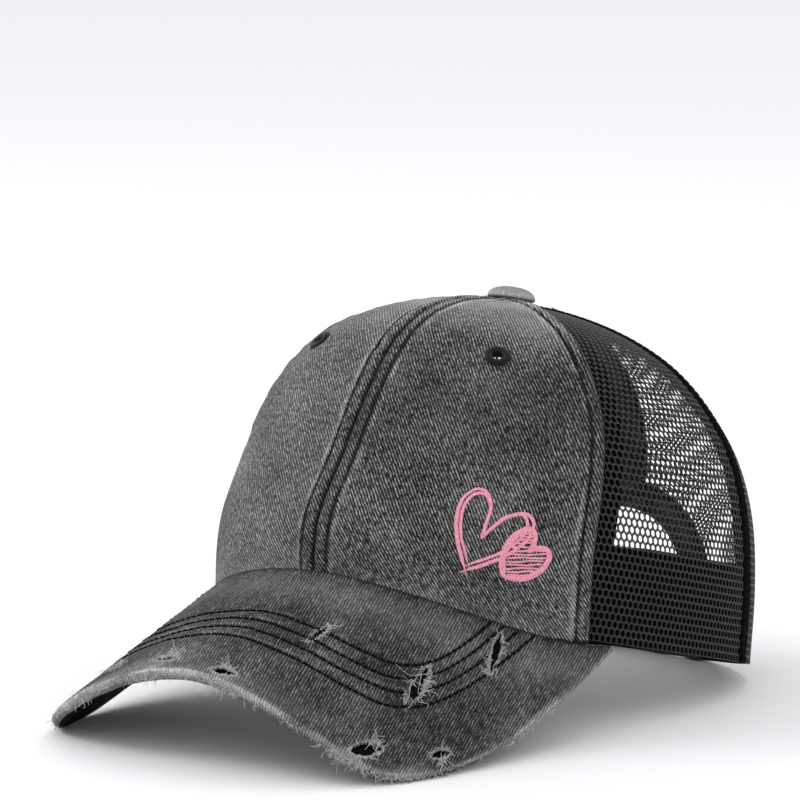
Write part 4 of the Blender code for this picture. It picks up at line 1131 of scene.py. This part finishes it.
def make_peak_cover():
    """Twill cover of the peak: a fine grid carried over the edge into a lip, torn at the rips.
    Gives the grid of its top, the turn of each row and its last column's share out."""
    even = np.linspace(-1, 1, COVER_ROWS)
    turn = QUARTER_TURN * np.sin(even * QUARTER_TURN * 0.999)
    turn = (0.35 * turn + 0.65 * QUARTER_TURN * even)[:, None]
    across = np.linspace(0, 1, COVER_COLUMNS)[None, :]
    turns = np.broadcast_to(turn, (turn.shape[0], across.shape[1]))
    _, _, width = peak_flat(turn, np.ones_like(turn))
    roll = np.minimum(1.3 * MM, 0.4 * width)
    flat_share = across * (1 - roll / width)
    arc, y, _ = peak_flat(turns, flat_share)
    base = peak_surface(arc, y)
    run = lengths_along(base, 0)
    edge_distance = width * (1 - flat_share)
    torn = rip_distance(arc, y)
    curl = 0.55 * MM * ridge(np.maximum(torn, 0), 1.1 * MM)
    lift = peak_lift(turns, edge_distance, run) + curl
    lift *= smooth_step(width * flat_share / (2 * MM))
    normal = peak_normal(arc, y)
    top = base + normal * lift[..., None]
    edge_arc, edge_y, _ = peak_flat(turn, np.ones_like(turn))
    edge_normal = peak_normal(edge_arc, edge_y)[:, 0]
    outward = unit(base[:, -1] - base[:, -3])
    bend = np.linspace(0, QUARTER_TURN, 6)[1:]
    depth = np.concatenate([1 - np.cos(bend), [1.5, 2.0, 2.45, 2.8]])
    reach = np.concatenate([np.sin(bend), [1.0, 1.0, 0.98, 0.9]])
    lip_columns = len(depth)
    ends = 1 - (1 - PEAK_TIP_THICKNESS_SHARE) * np.abs(turn / QUARTER_TURN) ** 6
    fray = 0.12 * MM * cloth_noise(run[:, -1:] / (2.6 * MM), np.arange(lip_columns)[None] * 0.4, 83)
    lip = top[:, -1:] + outward[:, None] * (roll * reach + fray * (reach > 0.9))[..., None]
    lip = lip - edge_normal[:, None] * (roll * depth * ends)[..., None]
    points = np.concatenate([top, lip], axis=1)
    edge_line = np.concatenate([edge_distance, -roll * depth], axis=1)
    whole_run = np.concatenate([run, np.repeat(run[:, -1:], lip_columns, axis=1)], axis=1)
    far_off = np.full((len(torn), lip_columns), 1.0)
    torn = np.concatenate([torn, far_off], axis=1)
    from_foot = np.concatenate([width * flat_share, far_off], axis=1)
    patch = cloth_noise(whole_run / (9 * MM), edge_line / (5 * MM), 87)
    # Edge wear, and painted light: the edge is made paler towards the wearer's right, the key
    # light's side.
    left = smooth_step(-turn / QUARTER_TURN * 1.2 + 0.62)
    wear_and_painted_light = (0.45 + 0.75 * left) * ridge(edge_line + 0.6 * MM, 1.6 * MM) * (0.8 + 0.5 * patch)
    wear_and_painted_light += (0.06 + 0.42 * left) * ridge(edge_line, 9 * MM) * (0.6 + 0.6 * patch)
    wear_and_painted_light += 0.16 * ridge(from_foot - 9 * MM, 7 * MM)
    for place, spread, _ in FRINGES[:-1]:
        near = ridge(turn - QUARTER_TURN * place, QUARTER_TURN * spread)
        wear_and_painted_light += 0.7 * near * ridge(edge_line - 1.0 * MM, 3.0 * MM) * (0.5 + 0.7 * patch)
    wear_and_painted_light += 0.75 * ridge(np.maximum(torn, 0), 0.55 * MM)
    for inset in ROW_INSETS:
        off_row = edge_line - inset * row_spread(turn)
        # Painted shade down in each row's groove.
        wear_and_painted_light -= 0.95 * ridge(off_row, ROW_HALF_WIDTH)
        wear_and_painted_light += 0.45 * np.maximum(patch, 0) * ridge(off_row - 1.1 * MM, 0.6 * MM)
    # Painted shade in a thin dark line at the peak's foot, against the crown.
    wear_and_painted_light -= ridge(from_foot, 0.8 * MM)
    faces = grid_quads(*points.shape[:2])
    keep = torn.reshape(-1)[faces].mean(axis=1) > 0
    flat = np.stack([arc, y], axis=-1)
    beyond = unit(flat[:, -1:] - flat[:, -3:-2])
    lip_flat = flat[:, -1:] + beyond * (roll * depth)[..., None]
    cloth = np.concatenate([flat, lip_flat], axis=1)
    mesh = make_mesh("peak_twill", points, faces[keep], cloth, wear_and_painted_light)
    thicken(make_piece("peak_twill", mesh, MATERIALS["peak"], "washed_twill", "peak_cover"),
            1.0 * MM)
    return top, turn[:, 0], flat_share[:, -1]


def cover_point(cover, turn, share):
    """Point of the peak's cover at a turn and a share out from the crown."""
    top, turns, outermost = cover
    row = np.interp(turn, turns, np.arange(len(turns)))
    column = share / np.interp(turn, turns, outermost) * (top.shape[1] - 1)
    return grid_point(top, row, column)


def make_peak_underside():
    """Black under layer of the peak, a board's thickness deep under the cover."""
    turn = np.radians(np.linspace(-90, 90, 180))[:, None]
    across = np.linspace(0, 1, 40)[None, :]
    turns = np.broadcast_to(turn, (turn.shape[0], across.shape[1]))
    width = peak_flat(turn, np.ones_like(turn))[2]
    share = across * (1 - np.minimum(1.6 * MM / width, 0.55))
    points = peak_layer(turns, share, np.full_like(turns, COVER_THICKNESS + CLEARANCE))
    cloth = np.stack([lengths_along(points, 0), lengths_along(points, 1)], axis=-1)
    make_sheet("peak_under", points, "board", "black_board", ("peak_underside",),
               BOARD_THICKNESS, cloth)


def make_peak_stitches(cover):
    """Four rows of black stitches lying in the grooves of the peak's cover, cut at the rips."""
    turn = np.radians(np.linspace(-78, 78, 300))
    width = peak_flat(turn, np.ones_like(turn))[2]
    for number, inset in enumerate(ROW_INSETS, 1):
        share = 1 - inset * row_spread(turn) / width
        keep = share > 0.01
        arc, y, _ = peak_flat(turn[keep], share[keep])
        clear = rip_distance(arc, y) > 0.4 * MM
        normals = peak_normal(arc, y)
        path = cover_point(cover, turn[keep], share[keep]) + normals * 0.20 * MM
        here, tangent, normal = resample(path, normals, 2.7 * MM)
        near = np.linalg.norm(here[:, None] - path[None], axis=-1).argmin(axis=1)
        alive = clear[near]
        lay_thread("peak_stitches_" + str(number), (here[alive], tangent[alive], normal[alive]),
                   1.12 * MM, 0.40 * MM, "black_thread", "washed_twill")


def make_panel_stitches():
    """Stitches of the front panels: one line each side of the centre seam and inside each edge."""
    low = float(share_at_height(hem_height(np.array(0.0)))) + 0.035
    share = np.linspace(low, SEAM_TOP, 240)
    for side, word in SIDES:
        for line, seam, inward in (("centre", 0.0, side), ("edge", side * FRONT_SEAM, -side)):
            bearing = seam + inward * WELT / around_rate(np.full_like(share, seam), share)
            path = crown_point(bearing, share, np.array(-0.05 * MM))
            normals = crown_normal(bearing, share)
            name = "front_stitches_" + line + "_" + word
            sew(name, path, normals, 2.7 * MM, 0.26 * MM, "black_thread", "washed_twill")


def make_button():
    """Button covered in twill: a flattened dome with a tucked rim and slight radial pleats."""
    angle = np.concatenate([np.linspace(90, 0, 28), np.linspace(0, -80, 10)[1:]])
    radians = np.radians(angle)
    sides = 96
    spin = np.linspace(0, 2 * np.pi, sides, endpoint=False)
    radius = 8.3 * MM * np.abs(np.cos(radians)) ** 0.8
    radius[0] = 0.05 * MM
    height = 1.6 * MM + np.where(angle > 0, 3.9, 1.3) * MM * np.sin(radians)
    pleat = 0.12 * MM * ridge(angle + 8, 26)[:, None] * cloth_noise(
        spin[None] * 4.5, np.zeros((len(angle), 1)) + 0.4, 91)
    around = np.stack([np.cos(spin), np.sin(spin), 0 * spin], axis=-1)
    centre = np.array([0.0, -APEX_FORWARD, CROWN_HEIGHT])
    points = (radius[:, None] + pleat)[..., None] * around[None]
    points = points + height[:, None, None] * np.array([0, 0, 1.0]) + centre
    faces = grid_quads(len(angle), sides, closed=True)[:, ::-1]
    fan = closing_fan(sides)
    faces = np.concatenate([faces, fan, fan[:, ::-1] + (len(angle) - 1) * sides])
    cloth = points[..., :2]
    wear_and_painted_light = 0.5 * ridge(angle - 12, 16)[:, None] + 0.2 + 0 * pleat
    mesh = make_mesh("button_twill", points, faces, cloth, wear_and_painted_light)
    make_piece("button_twill", mesh, MATERIALS["button"], "washed_twill", "button")


# Strap: its lifts at the root and past its bend, its free end, and how far in it is stitched
STRAP_BEHIND, STRAP_FRONT = -3.2 * MM, -1.4 * MM
STRAP_END = -29.1 * MM
STRAP_STITCH_INSET = 2.6 * MM


def strap_lift(x):
    """Lift of the strap: behind the binding at its root, in front of the tab past its bend."""
    return STRAP_BEHIND + (STRAP_FRONT - STRAP_BEHIND) * smooth_step((27 * MM - x) / (19 * MM))


def make_strap():
    """Hook-and-loop strap over its tab, edged with a box of stitches at its free end."""
    root = OPENING_HALF_WIDTH + BINDING_WIDTH - 1.2 * MM
    upward = np.linspace(0.2 * MM, STRAP_HEIGHT, 44)[:, None]
    across = np.minimum(upward, STRAP_HEIGHT - upward)
    bulge = np.sin(np.pi * upward / STRAP_HEIGHT)
    x = np.linspace(root, STRAP_END, 180)[None, :]
    box = ridge(across - STRAP_STITCH_INSET, 0.5 * MM)
    lift = strap_lift(x) + 0.25 * MM * bulge - 0.22 * MM * box
    points = back_point(x + 0 * upward, upward + 0 * x, lift)
    # Rubbed edges, and painted shade in the groove of the box of stitches.
    wear_and_painted_light = 0.55 * ridge(across, 0.8 * MM) + 0 * x - 0.6 * box
    wear_and_painted_light += 0.5 * ridge(x - STRAP_END, 0.9 * MM)
    cloth = np.stack(np.broadcast_arrays(root - x, upward), axis=-1)
    make_sheet("strap_cloth", points, "strap", "grey_strap", ("strap",), 1.4 * MM, cloth, wear_and_painted_light)
    x = np.linspace(-6 * MM, -root, 90)[None, :]
    lift = STRAP_BEHIND - 0.15 * MM + 0.1 * MM * bulge
    points = back_point(x + 0 * upward, upward + 0 * x, lift + 0 * x)
    wear_and_painted_light = 0.2 * ridge(across, MM) + 0 * x
    cloth = np.stack(np.broadcast_arrays(-x, upward), axis=-1)
    make_sheet("tab_cloth", points, "strap", "grey_strap", ("strap_tab",), 1.3 * MM, cloth, wear_and_painted_light)
    inset = STRAP_STITCH_INSET
    box_x = [20 * MM, STRAP_END + inset, STRAP_END + inset, 20 * MM]
    box_up = [STRAP_HEIGHT - inset, STRAP_HEIGHT - inset, inset, inset]
    path_x, path_up = (
        np.concatenate([np.linspace(corner[k], corner[k + 1], 60) for k in range(3)])
        for corner in (box_x, box_up))
    path = back_point(path_x, path_up, strap_lift(path_x) + 0.1 * MM)
    sew("strap_stitches", path, back_normal(path_x, path_up), 2.5 * MM, 0.24 * MM,
        "grey_thread", "grey_strap")


YARN_RINGS, YARN_SIDES = 8, 3


def make_yarns(name, roots, directions, normals, lengths, curl, radius, seed):
    """Loose yarns: three-sided tubes that leave their roots, sag and curl at random."""
    draw = np.random.default_rng(seed)
    count = len(roots)
    steps = np.linspace(0, 1, YARN_RINGS)
    bend = draw.normal(0, curl, (count, 3))
    twist = draw.normal(0, curl * 0.6, (count, 3))
    path = roots[:, None] + lengths[:, None, None] * (
        directions[:, None] * steps[None, :, None]
        + bend[:, None] * (steps ** 2)[None, :, None]
        + twist[:, None] * (np.sin(steps * 6.0) * steps ** 0.5)[None, :, None])
    tangent = unit(np.gradient(path, axis=1))
    side = np.cross(tangent, normals[:, None])
    side /= np.maximum(np.linalg.norm(side, axis=-1, keepdims=True), 1e-9)
    other = np.cross(side, tangent)
    spin = np.linspace(0, 2 * np.pi, YARN_SIDES, endpoint=False)
    taper = radius * (1 - 0.55 * steps)[None, :, None, None]
    ring = np.cos(spin)[None, None, :, None] * side[:, :, None]
    ring = ring + np.sin(spin)[None, None, :, None] * other[:, :, None]
    points = (path[:, :, None] + taper * ring).reshape(-1, 3)
    starts = np.arange(count)[:, None, None] * YARN_RINGS * YARN_SIDES
    faces = (starts + grid_quads(YARN_RINGS, YARN_SIDES, closed=True)).reshape(-1, 4)
    mesh = make_mesh(name, points, faces, points[:, :2])
    make_piece(name, mesh, MATERIALS["pale_thread"], "washed_twill")


def make_rip_yarns():
    """Pale yarns left in the rips: some bridge a rip, most stand frayed along its two edges."""
    draw = np.random.default_rng(5)
    roots, ways, normals, lengths = [], [], [], []
    for seed, rip in enumerate(RIPS):
        centre, along, across, long = rip_place(rip)
        count = int(long / MM * 7)
        tangled = draw.uniform(0, 1, count) < 0.5
        fuzz_place, fuzz_side = rip["fuzz"]
        a = np.where(tangled, draw.normal(fuzz_place, 0.12, count), draw.uniform(-0.5, 0.5, count))
        a = np.clip(a, -0.5, 0.5) * long
        side = np.where(tangled, fuzz_side, draw.choice([-1.0, 1.0], count))
        half = rip_half_width(rip, a, seed)
        flat = centre + a[:, None] * along + (side * (half + 0.25 * MM))[:, None] * across
        inward = -side[:, None] * across + draw.normal(0, 0.7, count)[:, None] * along
        here = peak_surface(flat[:, 0], flat[:, 1])
        step = 0.2 * MM
        there = peak_surface(flat[:, 0] + inward[:, 0] * step, flat[:, 1] + inward[:, 1] * step)
        way = (there - here) / step
        normal = peak_normal(flat[:, 0], flat[:, 1])
        chance = draw.uniform(0, 1, count)
        bridge, back = chance < 0.02, chance > 0.12
        length = np.where(bridge, 2 * half + 0.8 * MM, draw.gamma(3.0, 0.26, count) * MM)
        length = np.where(tangled, 1.5 * length, length)
        way = np.where(back[:, None], -way, way)
        rise = np.where(bridge, 0.0, np.where(back, 0.25, 0.1))
        roots.append(here + normal * draw.uniform(0.1, 0.6, count)[:, None] * MM)
        ways.append(way + normal * rise[:, None])
        normals.append(normal)
        lengths.append(length)
    make_yarns("rip_yarns", np.concatenate(roots), np.concatenate(ways), np.concatenate(normals),
               np.concatenate(lengths), 0.65, 0.17 * MM, 6)


def make_edge_yarns():
    """Pale fringe along the peak's lip: short yarns pointing out and down, thick where worn."""
    draw = np.random.default_rng(9)
    place = np.concatenate([draw.normal(*fringe) for fringe in FRINGES])
    turn = np.clip(place, -0.97, 0.97) * QUARTER_TURN
    arc, y, _ = peak_flat(turn, np.ones_like(turn))
    inner_arc, inner_y, _ = peak_flat(turn, np.full_like(turn, 0.97))
    edge = peak_surface(arc, y)
    outward = unit(edge - peak_surface(inner_arc, inner_y))
    normal = peak_normal(arc, y)
    count = len(turn)
    roots = edge - normal * draw.uniform(0.0, 2.6, count)[:, None] * MM - outward * 0.15 * MM
    ways = outward * draw.uniform(0.5, 1.1, count)[:, None]
    ways = ways + normal * draw.uniform(-0.7, 0.6, count)[:, None]
    lengths = draw.gamma(2.0, 0.36, count) * MM + 0.3 * MM
    make_yarns("edge_yarns", roots, ways, normal, lengths, 0.7, 0.16 * MM, 10)


# Right half of each heart from its notch to its tip, as shares of its height
HEART_HALVES = {
    "long": ((0, 0.45), (0.05, 0.63), (0.13, 0.85), (0.29, 0.99), (0.44, 0.96), (0.51, 0.78),
             (0.45, 0.56), (0.29, 0.31), (0, 0)),
    "short": ((0, 0.70), (0.05, 0.86), (0.20, 1.0), (0.36, 0.95), (0.42, 0.72), (0.37, 0.44),
              (0.23, 0.18), (0, 0)),
}


def heart_path(shape, height, tilt, tip, over):
    """Heart drawn from its tip up its left side, into the notch and back down to the tip, the pen
    running a little past the tip at both ends. Tilt turns it about its tip."""
    half = np.array(HEART_HALVES[shape])
    place = np.linspace(0, len(half) - 1, 90)
    before, after = 2 * half[0] - half[1], 2 * half[-1] - half[-2]
    right = np.stack([through_points(half[:, k], place, before[k], after[k]) for k in range(2)],
                     axis=-1) * height
    left = right[::-1] * np.array([-1.0, 1.0])
    path = np.concatenate([left, right[1:]])
    first = path[0] - unit(path[4] - path[0]) * over
    last = path[-1] - unit(path[-5] - path[-1]) * over
    path = np.concatenate([[first], path, [last]])
    cosine, sine = np.cos(np.radians(tilt)), np.sin(np.radians(tilt))
    return path @ np.array([[cosine, sine], [-sine, cosine]]) + np.array(tip)


# Sketched hearts on the wearer's left front panel. Each stroke has its shape, height, tilt in
# degrees, tip from the print's centre, how far it runs past its tip, and pen width, in millimetres
HEART_CENTRE_BEARING = np.radians(41.0)
HEART_CENTRE_HEIGHT = 33.0 * MM
HEART_STROKES = (
    ("long", 25.6, -23.5, (-12.0, -15.9), 2.2, 1.15),
    ("long", 22.5, -22.0, (-10.9, -14.2), 1.6, 0.9),
    ("short", 16.8, -41.0, (0.9, -16.2), 0.2, 1.6),
    ("short", 15.6, -42.0, (1.5, -15.6), 0.1, 1.2),
)
HATCH = {"lines": 13, "pen": 0.55, "rise": 0.14, "margin": 0.7}


def print_point(flat, panel, lift):
    """Point a lift above the left panel, at a flat place in millimetres from the print's centre."""
    share = share_at_height(np.array(HEART_CENTRE_HEIGHT))
    centre = np.array(HEART_CENTRE_BEARING)
    rate_up = np.linalg.norm(
        crown_surface(centre, share + 1e-3) - crown_surface(centre, share)) / 1e-3
    here = share + flat[..., 1] * MM / rate_up
    bearing = centre + flat[..., 0] * MM / around_rate(centre + 0 * here, here)
    low = share_at_height(hem_height(bearing))
    row = (here - low) / (APEX_SHARE - low) * (PANEL_ROWS - 1)
    across = crowded(PANEL_COLUMNS)
    column = np.interp(bearing / FRONT_SEAM, across, np.arange(PANEL_COLUMNS))
    return grid_point(panel, row, column) + crown_normal(bearing, here) * lift


def pen_stroke(path, pen, seed):
    """Ribbon along a flat path, its width varied as a felt pen's is, with slightly rough edges."""
    direction = unit(np.gradient(path, axis=0))
    side = np.stack([-direction[:, 1], direction[:, 0]], axis=-1)
    run = np.linspace(0, 1, len(path))
    swell = pen / 2 * (1 + 0.25 * cloth_noise(run * 9, run * 0 + 0.3, seed))
    swell *= smooth_step(run / 0.03) * smooth_step((1 - run) / 0.03) * 0.75 + 0.25
    rough = 0.10 * cloth_noise(run * len(path) / 2.2, run * 0 + 0.6, seed + 1)
    across = np.linspace(-1, 1, 5)
    return path[:, None] + side[:, None] * (
        (swell[:, None] * across[None]) + rough[:, None] * (np.abs(across) > 0.9))[..., None]


def make_hearts(panel):
    """Two sketched hearts printed on the left front panel as ribbons of ink, the last outline
    hatched."""
    flats = []
    for seed, (*stroke, pen) in enumerate(HEART_STROKES):
        path = heart_path(*stroke)
        run = np.linspace(0, 6, len(path))
        shake = [cloth_noise(run, 0 * run, seed + shift) for shift in (0, 9)]
        path += 0.22 * np.stack(shake, axis=-1)
        flats.append(pen_stroke(path, pen, 101 + 2 * seed))
    outline = path
    for line in range(HATCH["lines"]):
        level = outline[:, 1].min() + np.ptp(outline[:, 1]) * (line + 0.9) / (HATCH["lines"] + 0.8)
        near = outline[np.abs(outline[:, 1] - level) < 0.45, 0]
        start, end = near.min() + HATCH["margin"], near.max() - HATCH["margin"]
        run = np.linspace(0, 1, 40)
        wave = 0.16 * np.sin(run * 7 + 2.3 * line) + HATCH["rise"] * (end - start) * (run - 0.5)
        path = np.stack([start + (end - start) * run, level + wave], axis=-1)
        flats.append(pen_stroke(path, HATCH["pen"], 201 + 2 * line))
    points, faces, start = [], [], 0
    for layer, flat in enumerate(flats):
        surface = print_point(flat, panel, (0.10 + 0.004 * layer) * MM)
        points.append(surface.reshape(-1, 3))
        faces.append(grid_quads(*flat.shape[:2])[:, ::-1] + start)
        start += flat.shape[0] * flat.shape[1]
    flat_all = np.concatenate([f.reshape(-1, 2) for f in flats]) * MM
    mesh = make_mesh("heart_print", np.concatenate(points), np.concatenate(faces), flat_all)
    thicken(make_piece("heart_print", mesh, MATERIALS["print"], "washed_twill"), 0.08 * MM)


FLOOR_SIZE = 12.0


def make_floor():
    """Pale studio floor, flat and far wider than the view."""
    recipe = Recipe("studio_paper", 0.9, specular=0.1)
    place = recipe.node("ShaderNodeTexCoord", {}, {}, out=3)
    grain = recipe.noise(place, 0.004, 2.0)
    colour = recipe.mix(grain, (0.895, 0.895, 0.91, 1), (0.91, 0.91, 0.925, 1))
    recipe.finish(colour, grain, 0.02 * MM)
    reach = FLOOR_SIZE / 2
    corners = [(-reach, -reach, 0), (reach, -reach, 0), (reach, reach, 0), (-reach, reach, 0)]
    mesh = bpy.data.meshes.new("studio_floor")
    mesh.from_pydata(corners, [], [(0, 1, 2, 3)])
    mesh.materials.append(recipe.material)
    floor = bpy.data.objects.new("studio_floor", mesh)
    bpy.context.scene.collection.objects.link(floor)


def add_light(name, location, target, size, power):
    """Square white area light that faces a target."""
    light = bpy.data.lights.new(name, "AREA")
    light.energy = power
    light.size = size
    holder = bpy.data.objects.new(name, light)
    bpy.context.scene.collection.objects.link(holder)
    holder.location = location
    way = Vector(target) - Vector(location)
    holder.rotation_mode = "QUATERNION"
    holder.rotation_quaternion = way.to_track_quat("-Z", "Y")


# Camera, measured from the photograph against a cap leaned back by the measured lean
PHOTO_LEAN = np.radians(13.108)
CAMERA_AZIMUTH, CAMERA_ELEVATION = np.radians(36.733), np.radians(7.391)
CAMERA_DISTANCE = 1316.4 * MM
CAMERA_TARGET = np.array([96.30, -180.86, 105.60]) * MM
PHOTO_WIDTH = 800
PHOTO_FOCAL_PIXELS = 4449.3
SENSOR = 36.0


def make_camera():
    """Camera at the photograph's place, carried with the cap to where it stands."""
    back = np.array([
        np.sin(CAMERA_AZIMUTH) * np.cos(CAMERA_ELEVATION),
        -np.cos(CAMERA_AZIMUTH) * np.cos(CAMERA_ELEVATION), np.sin(CAMERA_ELEVATION)])
    right = np.array([np.cos(CAMERA_AZIMUTH), np.sin(CAMERA_AZIMUTH), 0.0])
    up = np.cross(back, right)
    carry = np.array(Matrix.Rotation(PHOTO_LEAN - LEAN, 3, "X"))
    camera = bpy.data.cameras.new("camera")
    camera.lens = PHOTO_FOCAL_PIXELS / PHOTO_WIDTH * SENSOR
    camera.sensor_width = SENSOR
    camera.clip_start = 0.01
    holder = bpy.data.objects.new("camera", camera)
    bpy.context.scene.collection.objects.link(holder)
    place = carry @ (CAMERA_TARGET + back * CAMERA_DISTANCE) + STAND_AT
    matrix = Matrix.Identity(4)
    for column, axis in enumerate((right, up, back)):
        matrix.col[column] = (*(carry @ axis), 0.0)
    matrix.col[3] = (*place, 1.0)
    holder.matrix_world = matrix
    bpy.context.scene.camera = holder


def make_light():
    """Soft studio light: a big key from the upper left, a fill, one from behind, and the room."""
    world = bpy.data.worlds.new("studio")
    bpy.context.scene.world = world
    world.use_nodes = True
    background = world.node_tree.nodes["Background"]
    background.inputs["Color"].default_value = (0.955, 0.96, 0.97, 1.0)
    background.inputs["Strength"].default_value = 1.0
    bpy.context.scene.view_settings.view_transform = "Standard"
    middle = (0.0, 0.0, 0.06)
    add_light("key", (-2.1, -1.0, 1.9), middle, 1.3, 23.0)
    add_light("fill", (1.4, -0.9, 0.8), middle, 1.2, 1.0)
    add_light("back", (-0.2, 1.0, 1.6), middle, 1.0, 4.0)


make_camera()
make_light()
make_floor()
PANELS = make_front_panels()
make_panel_stitches()
make_eyelets()
make_nets()
make_rear_seams()
make_seam_tapes()
make_bindings()
make_sweatband()
COVER = make_peak_cover()
make_peak_underside()
make_peak_stitches(COVER)
make_button()
make_strap()
make_rip_yarns()
make_edge_yarns()
make_hearts(PANELS[1])
